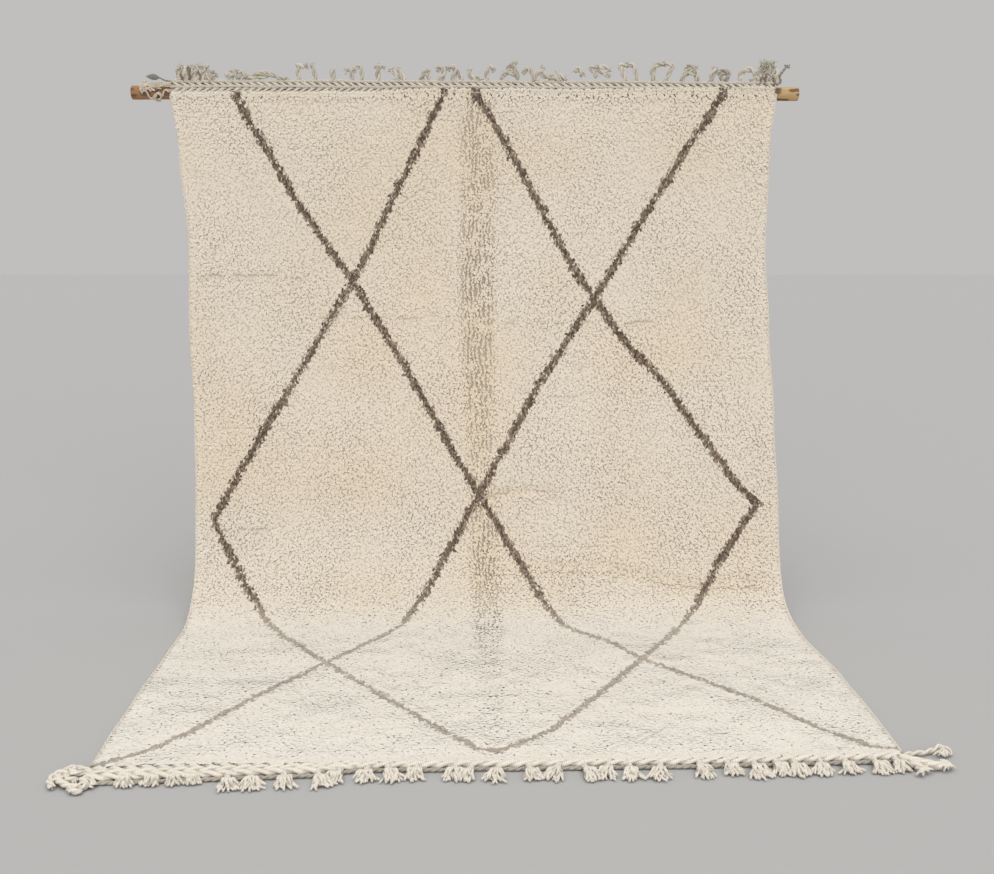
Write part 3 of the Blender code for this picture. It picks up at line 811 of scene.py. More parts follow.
def lock_shape():
    """One lock: narrow at its root, widest at its shoulder, blunt at the tip and bent down the cloth."""
    shape = Shape("knotted locks", Lock_width=LOCK_WIDE, Lock_reach=LOCK_REACH, Lock_height=LOCK_HIGH)
    kinds = []
    for kind in range(LOCK_KINDS):
        tuft, x, y, z = shape.bud()
        along = z + (0.40 + 0.12 * kind) * (z * (1 - z))
        tuft = shape.store(tuft, "along", along)
        turn = kind * math.pi / (3 * LOCK_KINDS)
        wide = x * math.cos(turn) - y * math.sin(turn)
        deep = (x * math.sin(turn) + y * math.cos(turn)) * LOCK_FLAT
        curve = along * (0.30 + 0.70 * along)
        rise = along * (1.40 - 0.40 * along)
        twist = (0.12 * (kind - 1.5)) * curve
        bent = {"X": wide + twist, "Y": deep + curve, "Z": rise - 0.35 * deep * along}
        bent = shape.add("ShaderNodeCombineXYZ", None, bent)
        tuft = shape.add("GeometryNodeSetPosition", None, {0: tuft, "Position": bent})
        kinds.append(shape.add("GeometryNodeGeometryToInstance", None, {0: tuft}))
    locks = shape.add("GeometryNodeJoinGeometry", None, {0: kinds})
    stretch, kind = shape.named("stretch", "FLOAT_VECTOR"), shape.named("kind", "INT")
    shape.set_on_points(locks, ("Lock width", "Lock reach", "Lock height"), stretch, kind)
    return shape


def carried_by(mesh, name, kind=np.float32, vector=False):
    """What each point of a mesh carries under a name."""
    values = np.empty(len(mesh.vertices) * (3 if vector else 1), kind)
    mesh.attributes[name].data.foreach_get("vector" if vector else "value", values)
    return values.reshape(-1, 3) if vector else values


def spread_map(mesh):
    """Opens every strand out into a square of its own on a map that its colours can be baked to."""
    ring = carried_by(mesh, "ring", vector=True)
    along = carried_by(mesh, "along")
    strand = carried_by(mesh, "strand", np.int32)
    corner = np.empty(len(mesh.loops), np.int32)
    mesh.loops.foreach_get("vertex_index", corner)
    first = np.empty(len(mesh.polygons), np.int32)
    count = np.empty(len(mesh.polygons), np.int32)
    mesh.polygons.foreach_get("loop_start", first)
    mesh.polygons.foreach_get("loop_total", count)
    face = np.repeat(np.arange(len(first)), count)
    longest = np.ones(strand.max() + 1, np.float32) * 1e-6
    np.maximum.at(longest, strand, along)
    round_it = np.round(np.arctan2(ring[:, 1], ring[:, 0]) / (2 * np.pi), 4) % 1
    u, v = round_it[corner], (along / longest[strand])[corner]
    at_tip = (np.hypot(ring[:, 0], ring[:, 1]) < 0.01)[corner]
    low = np.minimum.reduceat(np.where(at_tip, 2.0, u), first)
    high = np.maximum.reduceat(np.where(at_tip, -2.0, u), first)
    over_seam = (high - low > 0.5)[face]
    u = np.where(over_seam & (u < 0.5), u + 1, u)
    total = np.add.reduceat(np.where(at_tip, 0.0, u), first)
    known = np.maximum(np.add.reduceat(np.where(at_tip, 0, 1), first), 1)
    u = np.where(at_tip, (total / known)[face], u)
    cap = (np.maximum.reduceat(v, first) - np.minimum.reduceat(v, first) < 1e-4)[face]
    side_u, side_v = 0.04 + 0.92 * u, 0.14 + 0.82 * v
    cap_u, cap_v = 0.5 + 0.05 * np.cos(2 * np.pi * u), 0.06 + 0.04 * np.sin(2 * np.pi * u)
    across = int(np.ceil(np.sqrt(len(longest))))
    cell = strand[corner]
    u = (np.where(cap, cap_u, side_u) + cell % across) / across
    v = (np.where(cap, cap_v, side_v) + cell // across) / across
    add_map(mesh, BAKE_MAP, np.stack([u, v], axis=-1))


def soften(mesh):
    """Turns the shading of each strand towards the way that the cloth under it faces, by its own share.

    What faces further away from the cloth than the strand's own limit keeps its own shading.
    """
    own = np.empty(len(mesh.vertices) * 3, np.float32)
    mesh.vertices.foreach_get("normal", own)
    own, off = own.reshape(-1, 3), carried_by(mesh, "off", vector=True)
    above = (own * off).sum(axis=1) - carried_by(mesh, "limit")
    share = carried_by(mesh, "soft") * smooth_step(above / SEEN_EASE)
    facing = own * (1 - share[:, None]) + off * share[:, None]
    facing /= np.linalg.norm(facing, axis=1)[:, None]
    mesh.normals_split_custom_set_from_vertices(facing.tolist())


def carrying(name, points, values, edges=()):
    """A mesh of loose points that carry values for a shape's tree."""
    mesh = bpy.data.meshes.new(name)
    mesh.from_pydata(np.asarray(points).tolist(), edges, [])
    for key, value in values.items():
        value = np.asarray(value)
        kind = "FLOAT_VECTOR" if value.ndim == 2 else "INT" if value.dtype.kind == "i" else "FLOAT"
        field = "vector" if value.ndim == 2 else "value"
        mesh.attributes.new(key, kind, "POINT").data.foreach_set(field, value.ravel())
    return mesh


CREAM = (0.830, 0.752, 0.652, 1)
CREAM_WARM = (0.820, 0.708, 0.555, 1)
CREAM_LIT = (0.835, 0.790, 0.715, 1)
CREAM_DEEP = (0.480, 0.400, 0.290, 1)
CREAM_PAINTED_SHADE = (0.465, 0.420, 0.350, 1)
BROWN_DARK = (0.078, 0.052, 0.034, 1)
BROWN_PALE = (0.360, 0.275, 0.200, 1)
BROWN_LIT = (0.560, 0.500, 0.420, 1)
FIBRE_RELIEF = 0.0012


def pile_finish():
    """Soft undyed wool, paler at the cut tips than at the roots by painted shade, and brown wool in the
    lattice.
    """
    wool = Finish("pile wool", Roughness=0.92, Sheen_Weight=0.25)
    shade = wool.carried("shade")
    along = wool.carried("along")
    cream = wool.mixed(wool.carried("warm"), CREAM, CREAM_WARM)
    # painted light: the locks that lie on the floor are coloured paler
    cream = wool.mixed(wool.carried("pale"), cream, CREAM_LIT)
    cream = wool.mixed(0.05 + 0.05 * shade, cream, CREAM_DEEP)
    # painted shade: darker down the cloth, most over the turn to the floor
    cream = wool.mixed(wool.carried("worn") * 0.19, cream, CREAM_PAINTED_SHADE)
    # painted shade in the fold's slits, the partings and the crease openings
    cream = wool.mixed(wool.carried("dark") * 0.70, cream, CREAM_DEEP)
    dark = wool.mixed((0.5 + 0.5 * shade) ** 1.6, BROWN_DARK, BROWN_PALE)
    # painted light: the brown wool, too, is coloured paler on the floor
    dark = wool.mixed(wool.carried("pale") * 0.55, dark, BROWN_LIT)
    colour = wool.mixed(wool.carried("brown"), cream, dark)
    # painted shade at the roots, deep in the pile
    colour = wool.mixed((1 - along) ** 2 * 0.15, colour, CREAM_DEEP, "MULTIPLY")
    wool.feed("Base Color", colour)
    ring = wool.carried("ring", "Vector")
    # fine fibres that run from root to tip, in a different place of the noise for each lock
    wide = wool.add("ShaderNodeVectorMath", {"operation": "MULTIPLY"}, {0: ring, 1: (3.0, 3.0, 3.0)})
    moved = wool.add("ShaderNodeCombineXYZ", None, {"X": shade * 40, "Y": 0.0, "Z": along * 1.5})
    fibres = wool.add("ShaderNodeVectorMath", {"operation": "ADD"}, {0: wide, 1: moved})
    wool.raise_up(wool.noise(2.0, 2.0, fibres), FIBRE_RELIEF, 0.7)
    return wool.material


pile_locks = knotted_rows()
locks = lock_shape()
pile_wool = pile_finish()
pile_pieces = []
row_parts = np.linspace(0, pile_locks["row"].max() + 1, PILE_PARTS + 1).astype(int)
for number, (first, last) in enumerate(zip(row_parts, row_parts[1:]), 1):
    mine = (pile_locks["row"] >= first) & (pile_locks["row"] < last)
    values = {key: value[mine] for key, value in pile_locks.items() if key not in ("places", "row")}
    values["strand"] = np.arange(mine.sum(), dtype=np.int32)
    roots = carrying("roots", pile_locks["places"][mine], values)
    piece = locks.make(f"pile_{number}", roots, pile_wool)
    spread_map(piece.data)
    soften(piece.data)
    pile_pieces.append(piece)

# ---------------------------------------------------------------- the twined edges
# At both ends the warps are twined together into flat cords side by side, each of two thick woollen strands.
# The upper edge stands up by itself beyond the pole, and the lower one lies on the floor. Along each side,
# the outermost warps are bound over with a cord of three plies.

BAND_THICK = 0.008  # of the upper edge, which leans back and so stands off a little at its foot
STRAND_FLAT = 0.50  # how high two twined strands stand over each other, of how wide they lie
STRAND_STEPS = 12  # to a turn
ROPE_STACKED = 0.0035  # how much higher the outer cords of the lower edge lie
LEAD_GROWS = 0.02  # from one cord to the next
END_THIN = 0.35  # how thin yarn is where it closes at the side
END_CLOSED = 0.012  # over this length
# Under a strand: how deep in shadow the one beneath it lies, and how much thinner it is pressed
STRAND_SHADE = 0.66
STRAND_PRESSED = 0.20
# The thin cords between: their plies' distance and radius, and their turn, of the thick ones'
THIN_APART = 0.42
THIN_PLY = 0.55
THIN_LEAD = 0.5
FIRST_THIN_LOWER = 0.8  # the one that the pile covers
# The thin cord under the lower edge lies further out and is coloured dark: a painted shadow under the edge
UNDERSIDE_OUT = 0.004  # how much further out the one under the lower edge lies
UNDERSIDE_SHADE = 0.8
THIN_SHADE = 0.2
SELVEDGE_THICK = 0.0068  # the cord's radius along each side
SELVEDGE_OUT = 0.0010  # how far outside the weave's edge its middle runs
SELVEDGE_PLIES = 3
SELVEDGE_APART = 0.46
SELVEDGE_PLY = 0.54
SELVEDGE_LEAD = 0.060
SELVEDGE_STEP = 0.010
YARN_SEAT = 0.0006  # left free between yarn and what it lies on
CORD_STEP = 0.006  # from one point along a cord to the next
PLY_THICK = 0.52  # a ply's radius and how far it runs from the cord's middle, of the cord's radius
PLY_APART = 0.48
PLY_FLAT = 0.9
TO_THE_END = 2.0  # further right than the side

# The cords of an edge: how far beyond the pile each lies, how far they drop to the right, the length of one
# turn, the strands' radius, how far apart they open, how far beyond the pile the thin cords between them lie,
# how far to the right each cord runs, and how far over the back the thin ones lie
Ropes = namedtuple("Ropes", "outs drop lead strand apart between until over")
UPPER_ROPES = Ropes(
    (0.0090, 0.0272), 0.0070, 0.050, 0.0050, 1.20,
    (0.0005, 0.0186, 0.0362), (TO_THE_END, TO_THE_END), 0.0132,
)
LOWER_ROPES = Ropes(
    (0.0120, 0.0300, 0.0480), 0.0, 0.074, 0.0062, 1.15,
    (0.0030, 0.0210, 0.0390, 0.0560), (TO_THE_END, TO_THE_END, -0.32), 0.0060,
)
LOWER_SPREAD = ((-0.99, 0.34), (-0.62, 0.24), (-0.36, 0.0))  # the lower edge is wider at its left
DRAWN_IN = 0.018  # its outermost cord ends at the left third, and the edge is that much narrower from there

# An edge: how far down the cloth its pile ends, which way it runs out from there, and how far off it begins
Edge = namedtuple("Edge", "down way gap")
UPPER_EDGE = Edge(0.0, -1, SEAT + BAND_THICK * math.sin(LEAN_BACK))
LOWER_EDGE = Edge(PILE_LENGTH, 1, SEAT)


def widened(edge, across, out):
    """How far beyond the pile a cord lies once the lower edge's wider left part is allowed for."""
    if edge.way < 0:
        return out
    drawn = DRAWN_IN * smooth_step((out - 0.032) / 0.012) * smooth_step((across + 0.42) / 0.10)
    return out * (1 + np.interp(across, *zip(*LOWER_SPREAD))) - drawn


def beyond_pile(edge, path):
    """Places a path that is given across the rug, out beyond the pile's edge and proud of the back."""
    across, out, proud = np.asarray(path).T
    return place(across, skewed(across, edge.down + edge.way * (edge.gap + out)), proud)


def smooth_path(turns, step):
    """A smooth run of points through the turns, about a step apart."""
    turns = np.asarray(turns, float)
    ends = np.concatenate([[2 * turns[0] - turns[1]], turns, [2 * turns[-1] - turns[-2]]])
    run = []
    for before, start, stop, after in zip(ends, ends[1:], ends[2:], ends[3:]):
        count = max(1, round(np.linalg.norm(stop - start) / step))
        share = np.arange(count)[:, None] / count
        bend = 2 * before - 5 * start + 4 * stop - after
        swing = 3 * start - before - 3 * stop + after
        run.append(start + 0.5 * ((stop - before) * share + bend * share**2 + swing * share**3))
    return np.concatenate(run + [turns[-1:]])


def lengths_along(path):
    """How far along a path each of its points lies."""
    return np.concatenate([[0.0], np.cumsum(np.linalg.norm(np.diff(path, axis=0), axis=1))])


def plied(path, plies, apart, lead, flat=1.0, start=0.0):
    """Strands that twist round one another along a path, each so far from its middle, and their turning."""
    ahead = np.gradient(path, axis=0)
    beside = np.stack([-ahead[:, 1], ahead[:, 0], 1e-6 + 0 * ahead[:, 0]], axis=-1)
    beside /= np.linalg.norm(beside, axis=1)[:, None]
    over = np.cross(ahead / np.linalg.norm(ahead, axis=1)[:, None], beside)
    for ply in range(plies):
        turn = 2 * math.pi * (lengths_along(path) / lead + ply / plies) + start
        yield path + apart * (np.cos(turn)[:, None] * beside + flat * np.sin(turn)[:, None] * over), turn


def yarn_shape(sides):
    """Round yarn along a line of points, as thick as each point says, and closed at both ends."""
    shape = Shape(f"yarn of {sides} sides", Sides=sides)
    line = shape.add("GeometryNodeMeshToCurve", None, {0: shape.input("Geometry")})
    length = shape.add("GeometryNodeSplineParameter").beside("Length")
    line = shape.store(line, "along", length)
    circle = {"Resolution": shape.input("Sides"), "Radius": 1.0}
    circle = shape.add("GeometryNodeCurvePrimitiveCircle", None, circle)
    here = shape.add("GeometryNodeInputPosition")
    circle = shape.store(circle, "ring", here, "FLOAT_VECTOR")
    sockets = {"Curve": line, "Profile Curve": circle, "Scale": shape.named("thick"), "Fill Caps": True}
    shape.end(shape.add("GeometryNodeCurveToMesh", None, sockets))
    return shape


# Painted shade for yarn that lies under other yarn
BURIED_CELL = 0.004
BURIED_FROM = 0.0015  # how much lower than its neighbours yarn may lie and still be in the light
BURIED_EASE = 0.008
BURIED_SHADE = 0.85


def buried(flat, thick):
    """How deep each point lies under the yarn that passes over it or close by, from 0 to 1."""
    cell = np.floor(flat[:, :2] / BURIED_CELL).astype(int)
    cell -= cell.min(axis=0) - 1
    top = np.full(cell.max(axis=0) + 2, -np.inf)
    np.maximum.at(top, (cell[:, 0], cell[:, 1]), flat[:, 2] + thick)
    beside = [top[cell[:, 0] + step, cell[:, 1] + other] for step in (-1, 0, 1) for other in (-1, 0, 1)]
    return smooth_step((np.max(beside, axis=0) - flat[:, 2] - thick - BURIED_FROM) / BURIED_EASE)


class Yarns:
    """The lengths of yarn of one piece, gathered before they are spun into one mesh."""

    def __init__(self, edge, seed):
        self.edge = edge
        self.random = np.random.default_rng(seed)
        self.laid = []

    def lay(self, path, thick, deep=0.0):
        """One length of yarn; its radius and its painted shade are given once or for each of its points."""
        path = np.array(path)
        path[:, 2] = np.maximum(path[:, 2], np.asarray(thick) + 0.0004)
        across, out, proud = path.T
        off = off_cloth(self.edge.down + self.edge.way * (self.edge.gap + out))
        thick, deep = (np.broadcast_to(value, len(path)) for value in (thick, deep))
        self.laid.append((beyond_pile(self.edge, path), thick, deep, off, path))

    def put(self, path, thick, flat):
        """One length of yarn already placed in the room, with its places as they'd lie if rolled out flat."""
        off = np.tile((0.0, -1.0, 0.0), (len(path), 1))
        self.laid.append((path, np.asarray(thick), np.zeros(len(path)), off, flat))

    def cord(self, path, thick, plies=2, lead=0.024):
        """A cord of twisted plies, with its whole radius given, that thins to its end."""
        path = smooth_path(path, CORD_STEP)
        share = np.linspace(0, 1, len(path))
        slim = thick * PLY_THICK * (1 - 0.45 * np.maximum(share - 0.8, 0) / 0.2)
        for ply, turn in plied(path, plies, thick * PLY_APART, lead, PLY_FLAT, self.random.uniform(0, 6)):
            self.lay(ply, slim)

    def curly_end(self, root, heading, reach, thick, lift, points=7, curl=1.0, slim=0.45):
        """A loose end of yarn that curls as it goes; heading 0 is straight out beyond the pile."""
        bend = self.random.uniform(-1, 1) * 3.0 * curl
        swing = self.random.uniform(1.0, 2.2)
        path = [np.asarray(root, float)]
        for number in range(1, points):
            share = number / (points - 1)
            turned = heading + bend * (share - 0.25) * share * swing + 0.5 * curl * math.sin(9 * share + bend)
            ahead = np.array([math.sin(turned), math.cos(turned), 0.0])
            path.append(path[-1] + ahead * reach / (points - 1))
        path = np.array(path)
        share = np.linspace(0, 1, points)
        low = thick + YARN_SEAT
        height = path[:, 2] + lift * np.sin(share * math.pi * 0.9) - share * (root[2] - low)
        path[:, 2] = np.maximum(height, low)
        self.lay(path, thick * (1 - slim * share**3))

    def spin(self, name, shape, material, softness=0.0, free=False):
        """One mesh of all that has been laid. What stands free is shaded from behind as it is in front."""
        counts = [len(length[0]) for length in self.laid]
        points, thick, deep, off, flat = (np.concatenate(column) for column in zip(*self.laid))
        sunk = buried(flat, thick)
        if free:
            sunk = np.minimum(sunk, buried(flat * (1, 1, -1), thick))
        # painted shade where the yarn lies under other yarn
        deep = np.maximum(deep, BURIED_SHADE * sunk)
        strand = np.repeat(np.arange(len(counts), dtype=np.int32), counts)
        number = np.arange(len(points) - 1)
        edges = np.stack([number, number + 1], axis=-1)[strand[:-1] == strand[1:]].tolist()
        shade = self.random.uniform(-1, 1, len(counts))[strand]
        values = {"thick": thick, "strand": strand, "shade": shade, "deep": deep, "off": off}
        values["soft"] = np.full(len(points), softness)
        values["limit"] = np.full(len(points), SEEN_BEHIND)
        piece = shape.make(name, carrying(name, points, values, edges), material)
        spread_map(piece.data)
        if softness:
            soften(piece.data)
        return piece


YARN_WHITE = (0.930, 0.880, 0.790, 1)
YARN_CREAM = (0.870, 0.800, 0.690, 1)
YARN_GREY = (0.740, 0.680, 0.590, 1)
YARN_WARM = (0.700, 0.580, 0.420, 1)
YARN_DULL = (0.420, 0.380, 0.320, 1)
YARN_DEEP = (0.240, 0.195, 0.145, 1)
YARN_ROSY = (0.780, 0.680, 0.580, 1)
YARN_OLIVE = (0.560, 0.530, 0.380, 1)


def yarn_finish(name, light, dull, plies, lead, vary=0.25, tint=None):
    """Hand-spun yarn: thin plies that wind round it, with loose fibres, and painted shade between the plies.
    """
    wool = Finish(name, Roughness=0.95, Sheen_Weight=0.25)
    ring = wool.carried("ring", "Vector")
    x = wool.add("ShaderNodeSeparateXYZ", None, {0: ring}, "X")
    angle = wool.maths("ARCTAN2", x.beside("Y"), x)
    along = wool.carried("along")
    wound = wool.maths("SINE", angle * plies + along * (2 * math.pi * plies / lead)) * 0.5 + 0.5
    fuzz = wool.noise(700.0, 3.0)
    patch = wool.noise(30.0, 2.0)
    colour = wool.mixed(0.35 + vary * wool.carried("shade") + (patch - 0.5) * 0.8, light, dull)
    if tint:
        stained = {"Value": wool.noise(11.0, 2.0), "From Min": 0.48, "From Max": 0.68}
        colour = wool.mixed(wool.add("ShaderNodeMapRange", None, stained) * 0.5, colour, tint)
    # painted shade between the plies, with the fibres' random tone
    colour = wool.mixed((1 - wound) ** 2 * 0.25 + (0.5 - fuzz) * 0.3, colour, YARN_DEEP)
    # painted shade where the yarn lies under other yarn
    colour = wool.mixed(wool.carried("deep") * 0.75, colour, YARN_DEEP)
    wool.feed("Base Color", colour)
    wool.raise_up(wound * 0.7 + fuzz * 0.5, 0.0012)
    return wool.material


def selvedges():
    """A cord of three plies along each side, over which the outermost warps are bound."""
    yarns = Yarns(LOWER_EDGE, 45)
    down = np.arange(0.004, PILE_LENGTH - 0.002, SELVEDGE_STEP)
    apart = SELVEDGE_APART * SELVEDGE_THICK
    for name, way in (("left", -1), ("right", 1)):
        across = edge_of(name, down) + way * SELVEDGE_OUT
        out = down - LOWER_EDGE.down - LOWER_EDGE.gap
        proud = SELVEDGE_THICK + YARN_SEAT + front_rise(across, down)
        path = np.stack([across, out, proud], axis=-1)
        for ply, turn in plied(path, SELVEDGE_PLIES, apart, SELVEDGE_LEAD, PLY_FLAT, way):
            yarns.lay(ply, SELVEDGE_PLY * SELVEDGE_THICK)
    return yarns


def twined_edge(edge, ropes, seed):
    """The cords of an edge, each turning the other way from the next, and the thin ones between them."""
    yarns = Yarns(edge, seed)
    left, right = edge_of("left", edge.down), edge_of("right", edge.down)
    whole = np.arange(left, right + 0.001, ropes.lead / STRAND_STEPS)

    def run_along(across, out, until, stray):
        """How far out a cord lies all along the edge, and how it closes at its ends."""
        drop = ropes.drop * np.clip((across - left) / (right - left), 0, 1) ** 2
        to_end = np.minimum(across - left, min(right, until) - across)
        closing = np.minimum(1, END_THIN + (1 - END_THIN) * to_end / END_CLOSED)
        return widened(edge, across, out) - drop + stray, closing

    for number, (out, until) in enumerate(zip(ropes.outs, ropes.until)):
        across = whole[whole < until]
        stray = 0.0012 * uneven(across, 0 * across, 0.07, seed + number)
        out, closing = run_along(across, out, until, stray)
        proud = np.full(len(across), ropes.strand * (1 + ropes.apart * STRAND_FLAT))
        proud += ROPE_STACKED * (edge.way > 0) * (number > 0)
        path = np.stack([across, out, proud], axis=-1)
        swell = 1 + 0.16 * uneven(across, 0 * across, 0.025, seed + 5 + number)
        lead = (1 if number % 2 else -1) * ropes.lead * (1 + LEAD_GROWS * number)
        apart, start = ropes.strand * ropes.apart, 0.8 + 1.6 * number
        for strand, turn in plied(path, 2, apart, lead, STRAND_FLAT, start):
            under = smooth_step((-0.05 - np.sin(turn)) / 0.7)
            thick = ropes.strand * swell * closing * (1 - STRAND_PRESSED * under)
            yarns.lay(strand, thick, STRAND_SHADE * under)

    for number, out in enumerate(ropes.between):
        stray = 0.0015 * uneven(whole, 0 * whole, 0.04, seed + 9 + number)
        out, closing = run_along(whole, out, TO_THE_END, stray)
        # the last thin cord of the lower edge is coloured dark, a painted shadow under the edge
        underside = edge.way > 0 and number == len(ropes.between) - 1
        out = out + UNDERSIDE_OUT * underside
        over = ropes.over if number else FIRST_THIN_LOWER * ropes.over
        path = np.stack([whole, out, 0 * whole + over], axis=-1)
        apart, lead = THIN_APART * ropes.strand, THIN_LEAD * ropes.lead
        for strand, turn in plied(path, 2, apart, lead, PLY_FLAT, number):
            thick = THIN_PLY * ropes.strand * closing
            yarns.lay(strand, thick, UNDERSIDE_SHADE if underside else THIN_SHADE)
    return yarns


BAND_SOFTNESS = 0.5  # how far the yarn is shaded as the cloth under it faces
LOWER_BAND_SOFTNESS = 0.35
band_yarn = yarn_shape(6)
fringe_yarn = yarn_shape(5)
white_yarn = yarn_finish("lower yarn", YARN_WHITE, YARN_CREAM, 3, 0.016)
side_yarn = yarn_finish("selvedge yarn", CREAM, GROUND_PALE, 3, 0.012)
band_grey = yarn_finish("upper band yarn", YARN_CREAM, YARN_GREY, 3, 0.016)
grey_yarn = yarn_finish("upper yarn", YARN_GREY, YARN_DULL, 3, 0.016, 0.5, YARN_OLIVE)

lower_twining = twined_edge(LOWER_EDGE, LOWER_ROPES, 41)
lower_twining = lower_twining.spin("lower_twining", band_yarn, white_yarn, LOWER_BAND_SOFTNESS)
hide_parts("end_band_floor")
upper_twining = twined_edge(UPPER_EDGE, UPPER_ROPES, 51)
upper_twining = upper_twining.spin("upper_twining", band_yarn, band_grey, BAND_SOFTNESS)
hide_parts("end_band_top")
side_cords = selvedges().spin("selvedges", fringe_yarn, side_yarn, BAND_SOFTNESS, free=True)

# ---------------------------------------------------------------- the lower fringe
# The warps run on out of the twined edge in thirty small tassels. Each is drawn to a neck of two plies,
# tied in a knot, and falls open on the floor in curly ends.

TASSELS = (
    -0.873, -0.809, -0.770, -0.724, -0.638, -0.584, -0.506, -0.428, -0.374, -0.311,
    -0.264, -0.193, -0.100, -0.061, 0.005, 0.076, 0.149, 0.208, 0.271, 0.318,
    0.396, 0.489, 0.557, 0.621, 0.675, 0.719, 0.785, 0.846, 0.917, 0.971,
)
SHORT_TASSELS = 4  # the first ones lie close under the edge
LEANING_TASSEL = 17
LOWER_WIDE = 0.056  # of the lower edge, out from the pile
NECK_THICK = 0.0100
KNOT_OUT = 0.028
KNOT_HIGH = 0.0120
KNOT_WIDE = 0.0085
KNOT_TALL = 0.0068
KNOT_YARN = 0.0040
TASSEL_ENDS = (9, 9, 7)  # in each of its layers, from the floor up
TASSEL_WIDE = 0.010
END_THICK = 0.0036


def lower_fringe():
    """Each tassel: a neck that leans a little, a knot of two turns, and layers of ends that fan out."""
    yarns = Yarns(LOWER_EDGE, 61)
    random = yarns.random
    for number, across in enumerate(TASSELS):
        short = number < SHORT_TASSELS
        lean = random.uniform(-0.5, 0.5) + (0.9 if number == LEANING_TASSEL else 0.0)
        edge = widened(LOWER_EDGE, across, LOWER_WIDE)
        knot = edge + (0.002 if short else KNOT_OUT * random.uniform(0.75, 1.2))
        knot = np.array([across + lean * 0.016, knot, KNOT_HIGH])
        yarns.cord([(across, edge - 0.020, 0.012), (across, edge, 0.013), knot], NECK_THICK)
        turn = np.linspace(0, 4 * math.pi, 13)
        wrap = [KNOT_WIDE * np.cos(turn), turn * 0.0006 - 0.003, KNOT_TALL * np.sin(turn)]
        yarns.lay(knot + np.stack(wrap, axis=-1), KNOT_YARN)
        size = random.uniform(0.85, 1.15) * (0.62 if short else 1.0)
        for layer, ends in enumerate(TASSEL_ENDS):
            for end in np.linspace(-1, 1, ends):
                root = knot + (end * TASSEL_WIDE, 0.001 - 0.003 * layer, 0.004 * layer - 0.005)
                heading = 0.6 * lean + end * (0.46 - 0.08 * layer) + random.uniform(-0.16, 0.16)
                reach = size * random.uniform(0.034, 0.048) * (1 - 0.10 * layer) * (1 - 0.15 * end**2)
                lift = random.uniform(0.001, 0.004) + 0.004 * layer
                thick = END_THICK * random.uniform(0.8, 1.15)
                yarns.curly_end(root, heading, reach, thick, lift, curl=0.30, slim=0.2)
    return yarns


lower_tassels = lower_fringe().spin("lower_fringe", fringe_yarn, white_yarn)

# ---------------------------------------------------------------- the lower corners
# At the left corner the end of the twining is knotted into a lump of thick soft lobes. At the right corner
# two loose tails run out: a thin one with a curl at its tip, and a thick one that forks and falls open.

# Each lobe by its turns: how far beyond the corner, how far out from the pile and how high, in millimetres,
# and its thickness
Lobe = namedtuple("Lobe", "thick turns")
CORNER_LOBES = (
    Lobe(9.5, ((-14, 30, 9), (10, 18, 14), (26, 26, 20), (30, 44, 22), (16, 54, 22), (0, 46, 18))),
    Lobe(9.0, ((0, 28, 10), (18, 12, 14), (34, 8, 12), (42, 18, 10), (34, 26, 10))),
    Lobe(8.5, ((22, 20, 16), (40, 14, 18), (52, 22, 14), (48, 36, 12))),
    Lobe(
        9.5,
        ((30, 58, 12), (44, 42, 17), (58, 36, 17), (70, 48, 14), (72, 68, 10), (62, 88, 10), (54, 96, 9)),
    ),
    Lobe(9.5, ((60, 62, 12), (46, 76, 13), (32, 88, 12), (16, 98, 10), (2, 100, 10), (-10, 90, 10))),
    Lobe(9.0, ((-8, 52, 10), (-2, 70, 12), (-12, 84, 14), (-20, 96, 10), (-10, 112, 9))),
    Lobe(8.0, ((14, 104, 9), (4, 118, 9), (-8, 124, 8), (-18, 118, 8))),
    Lobe(8.0, ((-20, 60, 10), (-28, 78, 10), (-30, 94, 8))),
    Lobe(8.5, ((40, 56, 10), (30, 70, 14), (18, 74, 16), (8, 68, 12))),
    Lobe(8.0, ((56, 44, 12), (60, 58, 18), (50, 66, 18), (40, 60, 16))),
)
LOBE_CURLS = 4  # that stand off each
CURL_REACH = (0.014, 0.024)
CURL_THICK = (0.0030, 0.0042)
# The tails at the right corner by their turns: how far beyond the corner, how far out from the pile and how
# high, in metres
THIN_TAIL = (
    (-0.010, 0.020, 0.008), (0.030, 0.008, 0.007), (0.062, 0.006, 0.008), (0.090, -0.006, 0.010),
    (0.106, -0.016, 0.012), (0.120, -0.004, 0.010), (0.122, 0.016, 0.008), (0.110, 0.024, 0.007),
)
THICK_TAIL = (
    (-0.012, 0.036, 0.009), (0.010, 0.056, 0.011), (0.034, 0.074, 0.011), (0.058, 0.088, 0.011),
    (0.078, 0.088, 0.010),
)
SIDE_TAIL = ((0.004, 0.060, 0.010), (0.014, 0.084, 0.010), (0.022, 0.102, 0.009))
# Each tail with its thickness, its plies and the length of their turn, the ends that it falls open into, and
# which way they head: 0 is straight out from the pile
Tail = namedtuple("Tail", "turns thick plies lead ends heading")
TAILS = (
    Tail(THIN_TAIL, 0.0082, 2, 0.060, 9, 3.4),
    Tail(THICK_TAIL, 0.0140, 4, 0.110, 22, 1.6),
    Tail(SIDE_TAIL, 0.0120, 3, 0.080, 16, 0.4),
)
TAIL_FAN = 1.1  # how far its ends turn aside, in radians
TAIL_END_REACH = (0.016, 0.034)


